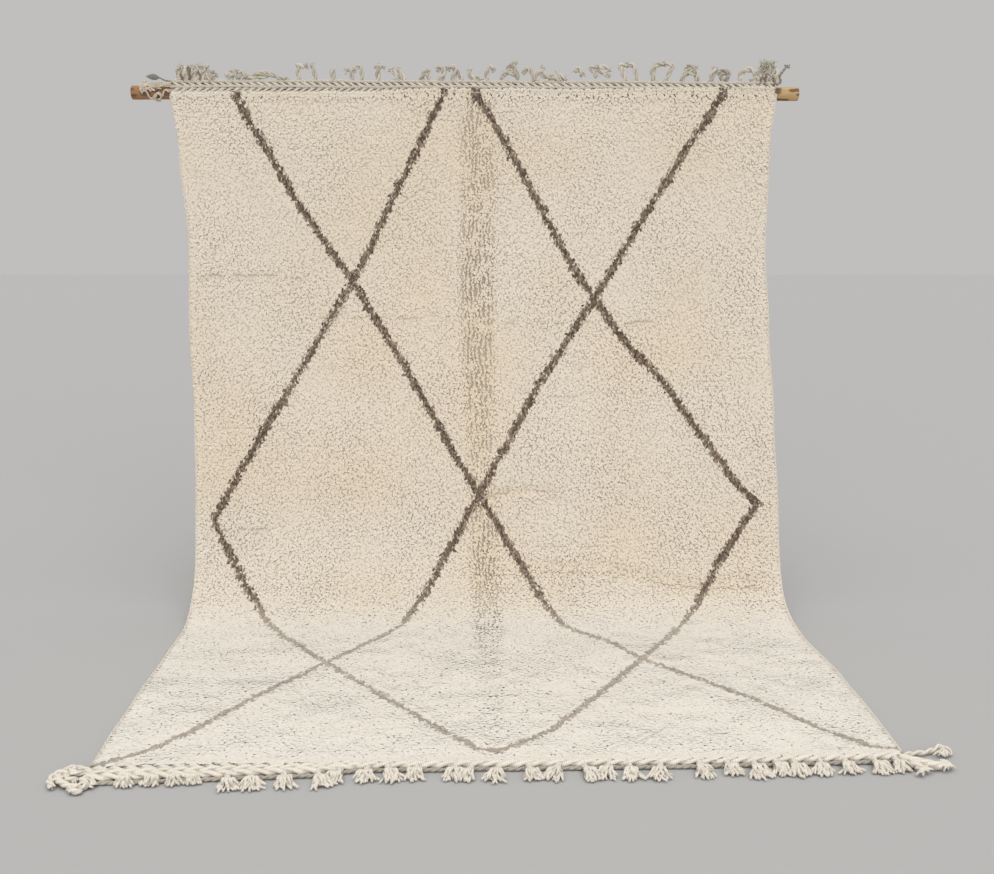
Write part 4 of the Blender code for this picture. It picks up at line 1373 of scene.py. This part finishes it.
def lower_corners():
    """The lobes of the lump with short curls standing off them, and the tails with their open ends."""
    yarns = Yarns(LOWER_EDGE, 71)
    random = yarns.random
    left, right = edge_of("left", PILE_LENGTH), edge_of("right", PILE_LENGTH)
    for lobe in CORNER_LOBES:
        turns = np.array(lobe.turns) / 1000 * (-1, 1, 1) + (left, 0, 0)
        yarns.cord(turns, lobe.thick / 1000, plies=3, lead=0.070)
        for number in range(LOBE_CURLS):
            root = turns[random.integers(1, len(turns))] + (0, 0, random.uniform(-0.004, 0.004))
            heading = random.uniform(-math.pi, math.pi)
            yarns.curly_end(root, heading, random.uniform(*CURL_REACH), random.uniform(*CURL_THICK), 0.005)
    for tail in TAILS:
        yarns.cord(np.array(tail.turns) + (right, 0, 0), tail.thick, tail.plies, tail.lead)
    for tail in TAILS:
        for number in range(tail.ends):
            aside = (right - random.uniform(0, 0.008), random.uniform(-0.008, 0.008), 0.0)
            root = np.array(tail.turns[-1]) + aside
            heading = tail.heading + random.uniform(-TAIL_FAN, TAIL_FAN)
            reach, thick = random.uniform(*TAIL_END_REACH), random.uniform(*CURL_THICK)
            yarns.curly_end(root, heading, reach, thick, 0.009)
    return yarns


lower_tails = lower_corners().spin("lower_corners", fringe_yarn, white_yarn)

# ---------------------------------------------------------------- the upper fringe
# Above the pole the same warps stand up in soft cords of two plies, some bent over and tied in arches and
# loops, some leaning or lying on the edge. Each frays at its end, and short fibres stand off it.

# Each cord by its turns, in millimetres across the rug and above the twined edge
UPPER_CORDS = (
    ((-1052, -6), (-1058, 20), (-1066, 44), (-1056, 62)), ((-1046, -6), (-1044, 30), (-1046, 64)),
    ((-1022, -6), (-1018, 34), (-1024, 62)), ((-1010, -4), (-1014, 24), (-1002, 48), (-1010, 66)),
    ((-998, -6), (-994, 30), (-1000, 62)), ((-980, -6), (-984, 26), (-976, 50), (-986, 64)),
    ((-972, -4), (-966, 30), (-974, 60)), ((-956, -4), (-958, 16), (-966, 36)),
    ((-946, -6), (-950, 14), (-944, 26)), ((-1060, -8), (-1066, 28), (-1054, 52)),
    ((-1036, -8), (-1032, 26), (-1040, 54)), ((-1012, -8), (-1003, 30), (-1010, 58)),
    ((-988, -8), (-990, 30), (-974, 54)), ((-964, -8), (-966, 24), (-948, 40)),
    ((-1070, 8), (-1050, 22), (-1030, 18)), ((-1000, 10), (-978, 30), (-956, 10)),
    ((-905, 16), (-886, 34), (-866, 20)), ((-896, -8), (-888, 18), (-872, 36)),
    ((-868, 6), (-850, 32), (-836, 12)), ((-852, 2), (-818, 14), (-792, 30), (-770, 26)),
    ((-826, 4), (-790, 12), (-752, 22), (-716, 2)), ((-782, 32), (-760, 30), (-732, 14), (-708, 4)),
    ((-661, -8), (-664, 30), (-662, 58)), ((-604, -8), (-608, 24), (-618, 64)),
    ((-668, 56), (-652, 60), (-640, 56)), ((-548, -8), (-549, 20), (-548, 42)),
    ((-484, -8), (-486, 22), (-492, 40), (-502, 42)), ((-452, 2), (-452, 36), (-458, 56), (-478, 44)),
    ((-396, -8), (-398, 28), (-392, 62)), ((-410, 54), (-396, 58), (-384, 52)),
    ((-330, 8), (-340, 26), (-352, 42)), ((-309, -4), (-320, 24), (-332, 46)),
    ((-346, -6), (-330, 2), (-312, -2)), ((-256, -8), (-246, 24), (-232, 40)),
    ((-228, 4), (-228, 22), (-238, 32)), ((-194, -4), (-178, 26), (-184, 52), (-198, 46)),
    ((-150, -6), (-142, 28), (-144, 56), (-164, 46)), ((-118, -6), (-120, 14), (-128, 28)),
    ((-72, 6), (-88, 18), (-92, 40)), ((-80, 2), (-66, 10), (-58, 2)),
    ((-32, -6), (-34, 30), (-22, 54), (-14, 46)), ((12, 4), (30, 34), (48, 68), (58, 66)),
    ((70, 4), (62, 34), (52, 66)), ((22, 28), (42, 32), (64, 24)),
    ((86, 28), (104, 50), (116, 26), (124, -2)), ((134, -4), (140, 30), (152, 48)),
    ((146, 26), (164, 16), (184, 14)), ((196, 44), (206, 24), (228, 4)), ((176, -4), (196, 10), (212, 2)),
    ((260, 34), (272, 46), (284, 24)), ((334, 14), (322, 34), (312, 52), (332, 54)),
    ((378, 16), (352, 32), (330, 50)), ((340, 52), (358, 54), (376, 46)),
    ((434, -8), (422, 26), (412, 56), (434, 60)), ((474, -8), (466, 24), (456, 58), (434, 62)),
    ((532, -8), (520, 24), (528, 60), (556, 66)), ((562, -8), (574, 26), (588, 58), (560, 66)),
    ((618, -8), (626, 22), (646, 54), (664, 50)), ((670, -6), (668, 24), (654, 52), (636, 54)),
    ((630, 26), (646, 30), (662, 26)), ((716, -8), (720, 26), (728, 50)),
    ((764, -4), (776, 26), (758, 40), (742, 34)), ((752, 0), (748, 20), (760, 30)),
    ((812, 2), (822, 34), (846, 44), (862, 26)), ((846, -4), (862, 10), (876, 4)),
    ((872, -8), (874, 30), (884, 58), (904, 68), (918, 56), (904, 40)), ((898, -8), (900, 30), (912, 50)),
    ((914, -8), (918, 26), (906, 60)), ((928, -8), (934, 24), (926, 44)), ((884, 10), (904, 26), (930, 12)),
)
UPPER_WIDE = 0.038  # of the upper edge, up from the pile
UPPER_HEIGHT = 0.80  # of the cords as they were drawn
CORD_THICK = 0.0096
CORD_LEAD = 0.056  # from one turn of its plies to the next
CORNERS_LOWER = 0.006  # how much less the cords at the corners reach up
CORNERS_FROM = 0.93  # how far across the corners begin, to either side
FRAYED_ENDS = 6
FRAYED_REACH = (0.010, 0.017)
FRAYED_THICK = 0.0027
FIBRE_EACH = 0.004  # along a cord, where a fibre may stand off it; every fifth place has one
FIBRE_REACH = (0.008, 0.014)
FIBRE_THICK = 0.0010
FRINGE_SOFTNESS = 0.5


def upper_fringe():
    """Each cord through its turns, with its frayed end and its fibres."""
    yarns = Yarns(UPPER_EDGE, 81)
    random = yarns.random
    for turns in UPPER_CORDS:
        flat = np.array(turns) / 1000
        sway = random.uniform(0.002, 0.010) * np.linspace(0, 1, len(flat))
        path = np.stack([flat[:, 0], UPPER_WIDE + UPPER_HEIGHT * flat[:, 1], 0.008 + sway], axis=-1)
        path[:, 1] -= CORNERS_LOWER * (abs(flat[0, 0]) > CORNERS_FROM) * np.linspace(0, 1, len(flat))
        thick = CORD_THICK * random.uniform(0.8, 1.15)
        yarns.cord(path, thick, lead=CORD_LEAD)
        last = path[-1] - path[-2]
        for number in range(FRAYED_ENDS):
            heading = math.atan2(last[0], last[1]) + random.uniform(-1.1, 1.1)
            root = path[-1] - last * random.uniform(0.1, 0.4) + (0, 0, random.uniform(-0.004, 0.004))
            reach = random.uniform(*FRAYED_REACH)
            yarns.curly_end(root, heading, reach, FRAYED_THICK, 0.003, points=6, curl=0.5)
        middle = smooth_path(path, FIBRE_EACH)
        for number in range(len(middle) // 5):
            root = middle[random.integers(1, len(middle))] + (0, 0, random.uniform(-0.5, 0.7) * thick)
            heading = random.uniform(-math.pi, math.pi)
            yarns.curly_end(root, heading, random.uniform(*FIBRE_REACH), FIBRE_THICK, 0.002, points=4)
    return yarns


upper_cords = upper_fringe().spin("upper_fringe", fringe_yarn, grey_yarn, FRINGE_SOFTNESS, free=True)

# ---------------------------------------------------------------- the loose end over the pole
# At the left, the end of the upper twining is pulled apart and wound loosely round the pole, with gaps
# through which the wood shows. A small knob of white wool sits on top.

# Each strand by its turns: millimetres across the rug and degrees round the pole, 0 in front and 90 on top
LOOSE_STRANDS = (
    ((-1088, 61), (-1108, 66), (-1129, 69), (-1151, 73), (-1172, 73), (-1191, 66), (-1203, 48)),
    ((-1089, 35), (-1106, 48), (-1125, 41), (-1149, 48), (-1168, 50), (-1185, 44), (-1200, 35)),
    ((-1125, 32), (-1144, 29), (-1159, 30), (-1174, 29), (-1189, 26), (-1198, 18)),
    ((-1149, 13), (-1161, 13), (-1174, 14), (-1187, 8), (-1194, -6)),
    ((-1201, 52), (-1198, 29), (-1194, 8), (-1191, -9)),
    (
        (-1174, 8), (-1173, -11), (-1171, -33), (-1163, -51), (-1153, -45), (-1149, -27), (-1140, -16),
        (-1132, -22), (-1125, -36),
    ),
    ((-1125, -36), (-1122, -11), (-1117, 6), (-1106, 16), (-1098, 8), (-1086, 11)),
    ((-1153, -45), (-1144, -64), (-1134, -57), (-1126, -33)),
    ((-1084, 18), (-1096, 8), (-1104, -4), (-1108, 3)),
    ((-1084, 82), (-1110, 84), (-1140, 88), (-1168, 92), (-1192, 84)),
    ((-1086, 100), (-1120, 104), (-1150, 98), (-1180, 106), (-1198, 92)),
)
DARK_STRAND = ((-1151, 11), (-1138, 29), (-1125, 52), (-1113, 69), (-1096, 79), (-1078, 92))
LOOSE_THICK = 0.0031
LOOSE_PLIES = 4
LOOSE_STRAY = (4.0, 13.0)  # of each ply, in millimetres across and degrees round
UNDER_PLIES = 2  # in a strand that stays below that many degrees
UNDER_TO = 30
KNOB = (-1187, 82)
KNOB_WIDE = (4.5, 14.0)
KNOB_ENDS = 26
KNOB_OVER = 0.008  # how far over the wood its first end lies, and how much further each next one
KNOB_CLIMB = 0.00025
KNOB_THICK = 0.0020
POLE_RISE = 0.005  # of its left end over its right one


def pole_line(across):
    """The middle of the pole, which isn't quite level: how far back it is and how high."""
    middle = (pole_low + pole_high) / 2
    right = pole_high.x - STAND_X
    return middle.y, middle.z + POLE_RISE * (right - across) / (right - POLE_LEFT)


def round_pole(turns, over):
    """Turns across the rug and round the pole, so far over the wood: in the room, and rolled out flat."""
    across, angle = np.array(turns).T
    across, angle = across / 1000, np.radians(angle)
    back, high = pole_line(across)
    reach = POLE_RADIUS + over
    placed = np.stack([across + STAND_X, back - reach * np.cos(angle), high + reach * np.sin(angle)], axis=-1)
    return placed, np.stack([across, POLE_RADIUS * angle, over + 0 * across], axis=-1)


def loose_end(strands, thick, plies, seed):
    """Thin yarns that run together along each strand and stray from one another."""
    yarns = Yarns(UPPER_EDGE, seed)
    random = yarns.random
    for number, turns in enumerate(strands):
        fine = smooth_path(np.array(turns, float) * (1, 0.4), 4) * (1, 2.5)
        share = np.linspace(0, 1, len(fine))
        over_top = max(angle for across, angle in turns) > UNDER_TO
        for ply in range(plies if over_top else UNDER_PLIES):
            line = 0 * share + number + 0.4 * ply
            stray = [uneven(share * 0.3, line, 0.05, seed + way) for way in (1, 2)]
            slim = thick * random.uniform(0.75, 1.1) * (1 - 0.4 * np.abs(2 * share - 1) ** 6)
            over = YARN_SEAT + thick * (0.9 + 0.7 * (ply % 3) + 0.3 * (number % 2))
            placed, flat = round_pole(fine + np.stack(stray, axis=-1) * LOOSE_STRAY, over)
            yarns.put(placed, slim, flat)
    return yarns


def white_knob():
    """Short ends that cross one another in a small heap."""
    yarns = Yarns(UPPER_EDGE, 93)
    for number in range(KNOB_ENDS):
        turns = yarns.random.uniform(-1, 1, (4, 2)) * KNOB_WIDE + KNOB
        placed, flat = round_pole(turns, KNOB_OVER + KNOB_CLIMB * number)
        yarns.put(placed, np.full(len(turns), KNOB_THICK), flat)
    return yarns


knob = white_knob().spin("white_knob", fringe_yarn, white_yarn)
loose_yarn = yarn_finish("loose yarn", YARN_ROSY, YARN_WARM, 3, 0.016)
loose_strands = loose_end(LOOSE_STRANDS, LOOSE_THICK, LOOSE_PLIES, 91)
loose_strands = loose_strands.spin("upper_loose_end", fringe_yarn, loose_yarn)

# ---------------------------------------------------------------- the darker ends
# Ends of darker wool along the upper edge: a flat grey-green tuft on a thin stem at the left, a dark strand
# that stands up and forks at the right corner, a brown one wound round the pole, brown cords at both corners,
# and a mossy tuft among those at the right.

# By their turns, in metres: how far beyond the side or across, how far up from the pile and how far proud
TUFT_STEM = ((-0.010, 0.036, 0.006), (0.018, 0.038, 0.007), (0.030, 0.044, 0.008), (0.042, 0.048, 0.009))
TUFT_FROM = (0.038, 0.048, 0.009)
TUFT_TO = (0.080, 0.052, 0.009)
CORNER_STRAND = (
    (0.004, 0.024, 0.008), (0.018, 0.034, 0.008), (0.013, 0.052, 0.008), (0.027, 0.072, 0.008),
    (0.035, 0.083, 0.008),
)
BROWN_CORDS = (
    ((-1.026, 0.040, 0.016), (-1.025, 0.060, 0.020), (-1.028, 0.082, 0.020)),
    ((-1.046, 0.038, 0.016), (-1.052, 0.050, 0.019), (-1.058, 0.062, 0.018)),
    ((-0.992, 0.038, 0.016), (-0.990, 0.052, 0.019), (-0.996, 0.068, 0.018)),
    ((0.894, 0.026, 0.014), (0.898, 0.044, 0.018), (0.899, 0.060, 0.018)),
    ((0.878, 0.026, 0.014), (0.884, 0.040, 0.017), (0.888, 0.052, 0.017)),
    ((0.930, 0.024, 0.014), (0.926, 0.040, 0.018), (0.920, 0.056, 0.018)),
)
MOSS_TUFT = (0.902, 0.080, 0.016)
MOSS_SPREAD = (0.022, 0.016, 0.005)
MOSS_ENDS = 110
MOSS_REACH = 0.016
MOSS_THICK = 0.0014
TUFT_ENDS = 70
TUFT_BULGE = 0.0100
TUFT_FLAT = 0.7
TUFT_THICK = 0.0012
STEM_THICK = 0.0034
STRAND_THICK = 0.0056
FORK_ENDS = 16
FORK_THICK = 0.0016
BROWN_THICK = 0.0048
BROWN_WOUND_THICK = 0.0026
MOSS_PALE = (0.660, 0.640, 0.520, 1)
MOSS_DARK = (0.500, 0.480, 0.350, 1)
TUFT_GREEN = (0.215, 0.215, 0.170, 1)
TUFT_GREY = (0.360, 0.345, 0.310, 1)


def dark_ends():
    """The grey-green tuft on its stem, and the dark strand whose end forks in two."""
    yarns = Yarns(UPPER_EDGE, 95)
    random = yarns.random
    left, right = edge_of("left", 0.0), edge_of("right", 0.0)
    mirrored = (-1, 1, 1)
    yarns.cord(np.array(TUFT_STEM) * mirrored + (left, 0, 0), STEM_THICK)
    share = np.linspace(0, 1, 9)
    for number in range(TUFT_ENDS):
        angle, ring = random.uniform(0, 2 * math.pi), math.sqrt(random.uniform(0.05, 1.0))
        bulge = TUFT_BULGE * ring * np.sin(math.pi * share**0.8)
        length = random.uniform(0.8, 1.05)
        line = np.array(TUFT_FROM) + np.outer(share * length, np.subtract(TUFT_TO, TUFT_FROM))
        line[:, 1] += bulge * math.cos(angle)
        line[:, 2] += TUFT_FLAT * bulge * math.sin(angle)
        yarns.lay(line * mirrored + (left, 0, 0), TUFT_THICK)
    yarns.cord(np.array(CORNER_STRAND) + (right, 0, 0), STRAND_THICK)
    for number in range(FORK_ENDS):
        root = np.array(CORNER_STRAND[-1]) + (right, -0.004, random.uniform(-0.002, 0.002))
        heading = (1.2 if number % 2 else -0.2) + random.uniform(-0.4, 0.4)
        yarns.curly_end(root, heading, random.uniform(0.010, 0.018), FORK_THICK, 0.002)
    return yarns


def brown_strands():
    """The brown strand that is wound round the pole, and the brown cords at both corners."""
    yarns = loose_end((DARK_STRAND,), BROWN_WOUND_THICK, 3, 97)
    for turns in BROWN_CORDS:
        yarns.cord(turns, BROWN_THICK)
    return yarns


def moss_tuft():
    """Short curls every way round one place."""
    yarns = Yarns(UPPER_EDGE, 99)
    for number in range(MOSS_ENDS):
        root = MOSS_TUFT + yarns.random.uniform(-1, 1, 3) * MOSS_SPREAD
        yarns.curly_end(root, yarns.random.uniform(-3.1, 3.1), MOSS_REACH, MOSS_THICK, 0.003, points=6)
    return yarns


dark_yarn = yarn_finish("dark yarn", TUFT_GREY, TUFT_GREEN, 2, 0.014)
dark_tufts = dark_ends().spin("dark_ends", fringe_yarn, dark_yarn, free=True)
brown_yarn = yarn_finish("brown yarn", BROWN_PALE, BROWN_DARK, 2, 0.014)
brown_cords = brown_strands().spin("dark_strand", fringe_yarn, brown_yarn)
moss_yarn = yarn_finish("moss yarn", MOSS_PALE, MOSS_DARK, 2, 0.014)
mossy_tuft = moss_tuft().spin("upper_tuft", fringe_yarn, moss_yarn, FRINGE_SOFTNESS, free=True)

# ---------------------------------------------------------------- the lattice on the cloth's back
# The brown knots show on the back of the hanging cloth as small hard loops round the warps, two to a knot.

BACK_KNOT_WIDE = 0.0042
BACK_KNOT_TALL = 0.0068
BACK_KNOT_THICK = 0.0022
BACK_KNOT_SUNK = 0.0003  # of its middle out from the weave
BACK_KNOT_MARGIN = 0.004  # left free along the sides
BACK_KNOTS_TO = 0.05  # from the floor
BACK_BROWN = (0.115, 0.082, 0.056, 1)
BACK_BROWN_PALE = (0.230, 0.175, 0.125, 1)


def back_knot_shape():
    """One loop of wool, flat and oval, its long side down the cloth."""
    shape = Shape("back knots", Width=BACK_KNOT_WIDE, Length=BACK_KNOT_TALL, Thickness=BACK_KNOT_THICK)
    loop, x, y, z = shape.bud()
    shape.set_on_points(shape.store(loop, "along", z), ("Width", "Length", "Thickness"))
    return shape


def lattice_back():
    """A loop at each side of every brown knot, down to where the cloth's back turns under."""
    random = np.random.default_rng(101)
    down = np.arange(ROW_PITCH / 2, FLOOR_FROM - BACK_KNOTS_TO, ROW_PITCH)
    across = np.arange(-1.1, 1.1, WARP_PITCH / 2)
    down, across = (grid.ravel() for grid in np.meshgrid(down, across, indexing="ij"))
    inside = across > edge_of("left", down) + BACK_KNOT_MARGIN
    inside &= across < edge_of("right", down) - BACK_KNOT_MARGIN
    near = off_lattice(across, down) < 0.5 * LINE_WIDE * (1 + 0.14 * uneven(across, down, 0.05, 33))
    down, across = down[inside & near], across[inside & near]
    down = down + random.uniform(-0.0008, 0.0008, len(down))
    across = across + random.uniform(-0.0005, 0.0005, len(across))
    values = {
        "off": -off_cloth(down),
        "toward": down_cloth(down),
        "shade": random.uniform(-1, 1, len(down)),
        "strand": np.arange(len(down), dtype=np.int32),
    }
    places = place(across, down, cloth_wave(across, down) - BACK_KNOT_SUNK)
    knots = carrying("knots", places, values)
    wool = Finish("back knot wool", Roughness=0.92, Sheen_Weight=0.15)
    brown = wool.mixed(0.5 + 0.5 * wool.carried("shade"), BACK_BROWN, BACK_BROWN_PALE)
    fibres = wool.noise(900.0, 3.0)
    wool.feed("Base Color", wool.mixed(fibres * 0.5, brown, BACK_BROWN_PALE))
    wool.raise_up(fibres, 0.0006)
    piece = back_knot_shape().make("lattice_back", knots, wool.material)
    spread_map(piece.data)
    return piece


back_loops = lattice_back()

# ---------------------------------------------------------------- the pole
# A peeled round pole of pale wood, 46 mm thick and never quite even, sawn square at its ends and darkened
# by handling. Its bare ends show beyond the rug.

POLE_SIDES = 36
POLE_RINGS = 90
POLE_RIGHT = pole_high.x - STAND_X
POLE_WORN = 0.0016  # how far its end edges are rubbed round
POLE_DENT = 0.0005
WOOD_ORANGE = (0.400, 0.175, 0.065, 1)
WOOD_GOLD = (0.640, 0.430, 0.200, 1)
WOOD_DARK = (0.075, 0.036, 0.018, 1)
WOOD_SAWN = (0.500, 0.330, 0.180, 1)
# Dark spots: millimetres across the rug, degrees round the pole and radius in millimetres
# Those at the right end are knots and dark dents; at the left end they are dark patches where the wood shows
# between the loose strands, and the one at the rug's edge is a painted shadow
WOOD_SPOTS = (
    (-1180, -14, 12.0), (-1140, -37, 8.0), (-1112, -8, 12.0), (-1196, 34, 7.0), (-1228, 24, 7.0),
    (-1092, 0, 12.0), (-1150, 12, 9.0), (-1128, 20, 8.0), (-1222, -30, 7.0),
    (936, 14, 13.0), (946, 40, 8.0), (948, -62, 9.0), (970, -66, 9.0), (994, 26, 9.0), (1010, 30, 9.0),
    (1014, -12, 5.0),
)


def bare_pole():
    """Rings of points from end to end, closed by a flat sawn face at each end."""
    inner = np.linspace(POLE_LEFT + 2 * POLE_WORN, POLE_RIGHT - 2 * POLE_WORN, POLE_RINGS)
    worn = np.array([0.0, 0.4 * POLE_WORN, POLE_WORN])
    along = np.concatenate([POLE_LEFT + worn, inner, POLE_RIGHT - worn[::-1]])
    rubbed = np.concatenate([[POLE_WORN, 0.4 * POLE_WORN, 0.1 * POLE_WORN], 0 * inner])
    rubbed = np.concatenate([rubbed, rubbed[2::-1]])
    turn = 2 * math.pi * np.arange(POLE_SIDES) / POLE_SIDES
    along_grid, turn_grid = np.meshgrid(along, turn, indexing="ij")
    dent = POLE_DENT * uneven(along_grid, 0.02 * np.cos(turn_grid), 0.02, 111)
    dent += POLE_DENT * uneven(along_grid, 0.02 * np.sin(turn_grid), 0.11, 112)
    radius = POLE_RADIUS - 0.0007 + dent - rubbed[:, None]
    back, high = pole_line(along_grid)
    x = along_grid + STAND_X
    y = back + radius * np.cos(turn_grid)
    z = high + radius * np.sin(turn_grid)
    points = np.stack([x, y, z], axis=-1)
    number = np.arange(points.shape[0] * POLE_SIDES).reshape(-1, POLE_SIDES)
    beside = np.roll(number, -1, axis=1)
    skin = np.stack([number[:-1], beside[:-1], beside[1:], number[1:]], axis=-1).reshape(-1, 4)
    faces = skin.tolist() + [number[0, ::-1].tolist(), number[-1].tolist()]
    mesh = bpy.data.meshes.new("bare_pole")
    mesh.from_pydata(points.reshape(-1, 3).tolist(), [], faces)
    mesh.validate()
    mesh.shade_smooth()
    mesh.polygons[len(skin)].use_smooth = False
    mesh.polygons[len(skin) + 1].use_smooth = False
    return mesh


def wood_finish():
    """Long grain, dark streaks, small knots and a painted shadow; warmer at the left end, golden at the
    right.
    """
    wood = Finish("bare wood", Specular_IOR_Level=0.35)
    here = wood.add("ShaderNodeTexCoord", None, None, "Object")
    stretched = wood.add("ShaderNodeVectorMath", {"operation": "MULTIPLY"}, {0: here, 1: (1.6, 30.0, 30.0)})
    streak = wood.noise(3.0, 5.0, stretched, 0.6)
    grain = wood.noise(14.0, 4.0, stretched, 0.6)
    x = wood.add("ShaderNodeSeparateXYZ", None, {0: here}, "X")
    to_right = {"Value": x, "From Min": -0.9, "From Max": 0.9}
    to_right = wood.add("ShaderNodeMapRange", None, to_right)
    colour = wood.mixed(to_right, WOOD_ORANGE, WOOD_GOLD)
    dark = wood.add("ShaderNodeMapRange", None, {"Value": streak, "From Min": 0.52, "From Max": 0.72})
    colour = wood.mixed(dark * 0.75, colour, WOOD_DARK)
    fine = wood.add("ShaderNodeMapRange", None, {"Value": grain, "From Min": 0.35, "From Max": 0.65})
    colour = wood.mixed(fine * 0.35, colour, WOOD_DARK)
    # dark spots: knots, patches between the loose strands and, at the rug's left edge, a painted shadow
    for across, angle, wide in WOOD_SPOTS:
        spot = round_pole(((across, angle),), 0.0)[0][0]
        away = wood.add("ShaderNodeVectorMath", {"operation": "SUBTRACT"}, {0: here, 1: tuple(spot)})
        away = wood.add("ShaderNodeVectorMath", {"operation": "MULTIPLY"}, {0: away, 1: (0.55, 1.0, 1.0)})
        away = wood.add("ShaderNodeVectorMath", {"operation": "LENGTH"}, {0: away}, "Value")
        near = {"Value": away + (streak - 0.5) * 0.006, "From Min": wide / 1000, "From Max": wide / 1800}
        near = wood.add("ShaderNodeMapRange", None, near)
        colour = wood.mixed(near * 0.92, colour, WOOD_DARK)
    stain = wood.noise(9.0, 3.0)
    colour = wood.mixed(stain * 0.35, colour, WOOD_SAWN)
    wood.feed("Base Color", colour)
    wood.feed("Roughness", 0.48 + 0.22 * grain)
    wood.raise_up(grain * 0.6 + streak * 0.4, 0.0009)
    return wood.material


pole_piece = show("bare_pole", bare_pole(), wood_finish())
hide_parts("pole")

# ---------------------------------------------------------------- floor, light and camera
# A plain pale floor, two very broad soft lights, from above and from the front, and the camera 1.29 m up,
# straight in front of the middle of the cloth and tilted a little down.

CAMERA_BACK = 4.17  # in front of the top of the cloth
CAMERA_HIGH = 1.292
CAMERA_TILT = math.radians(80.1)
CAMERA_LENS = 43.46
FLOOR_REACH = 30
FLOOR_LOW = -0.0006  # just under the rug
LIGHT_SPREAD = math.radians(70)

floor_mesh = bpy.data.meshes.new("studio_floor")
floor_corners = [(-FLOOR_REACH, -FLOOR_REACH), (FLOOR_REACH, -FLOOR_REACH)]
floor_corners += [(FLOOR_REACH, FLOOR_REACH), (-FLOOR_REACH, FLOOR_REACH)]
floor_corners = [(x, y, FLOOR_LOW) for x, y in floor_corners]
floor_mesh.from_pydata(floor_corners, [], [(0, 1, 2, 3)])
studio_floor = bpy.data.objects.new("studio_floor", floor_mesh)
bpy.context.scene.collection.objects.link(studio_floor)
floor_paint = Finish("studio floor", Base_Color=(0.46, 0.46, 0.46, 1), Roughness=0.9)
floor_mesh.materials.append(floor_paint.material)


def soft_light(name, climb, turn, strength, colour):
    """A very broad light from far off, that many degrees up and so far to the side of the front."""
    data = bpy.data.lights.new(name, "SUN")
    data.angle = LIGHT_SPREAD
    data.energy = strength
    data.color = colour
    lamp = bpy.data.objects.new(name, data)
    lamp.rotation_euler = (math.radians(90 - climb), 0, math.radians(turn))
    bpy.context.scene.collection.objects.link(lamp)


soft_light("overhead", 80, 0, 1.3, (1.0, 0.985, 0.96))
soft_light("front", 14, 6, 1.32, (1.0, 0.99, 0.97))

world = bpy.data.worlds.new("studio")
bpy.context.scene.world = world
world.use_nodes = True
world.node_tree.nodes["Background"].inputs["Color"].default_value = (0.82, 0.812, 0.80, 1)
world.node_tree.nodes["Background"].inputs["Strength"].default_value = 0.64
bpy.context.scene.view_settings.view_transform = "Standard"

lens = bpy.data.cameras.new("camera")
lens.lens = CAMERA_LENS
lens.sensor_width = 36
camera = bpy.data.objects.new("camera", lens)
camera.location = (STAND_X, STAND_Y - CAMERA_BACK, CAMERA_HIGH)
camera.rotation_euler = (CAMERA_TILT, 0, 0)
bpy.context.scene.collection.objects.link(camera)
bpy.context.scene.camera = camera

# ---------------------------------------------------------------- the finished rug
# The cloth and all that is knotted to it hang together from the pole.

fringe_pieces = [lower_twining, upper_twining, side_cords, lower_tassels, lower_tails, upper_cords]
fringe_pieces += [loose_strands, knob, dark_tufts, brown_cords, mossy_tuft, back_loops]
pile_pieces + fringe_pieces
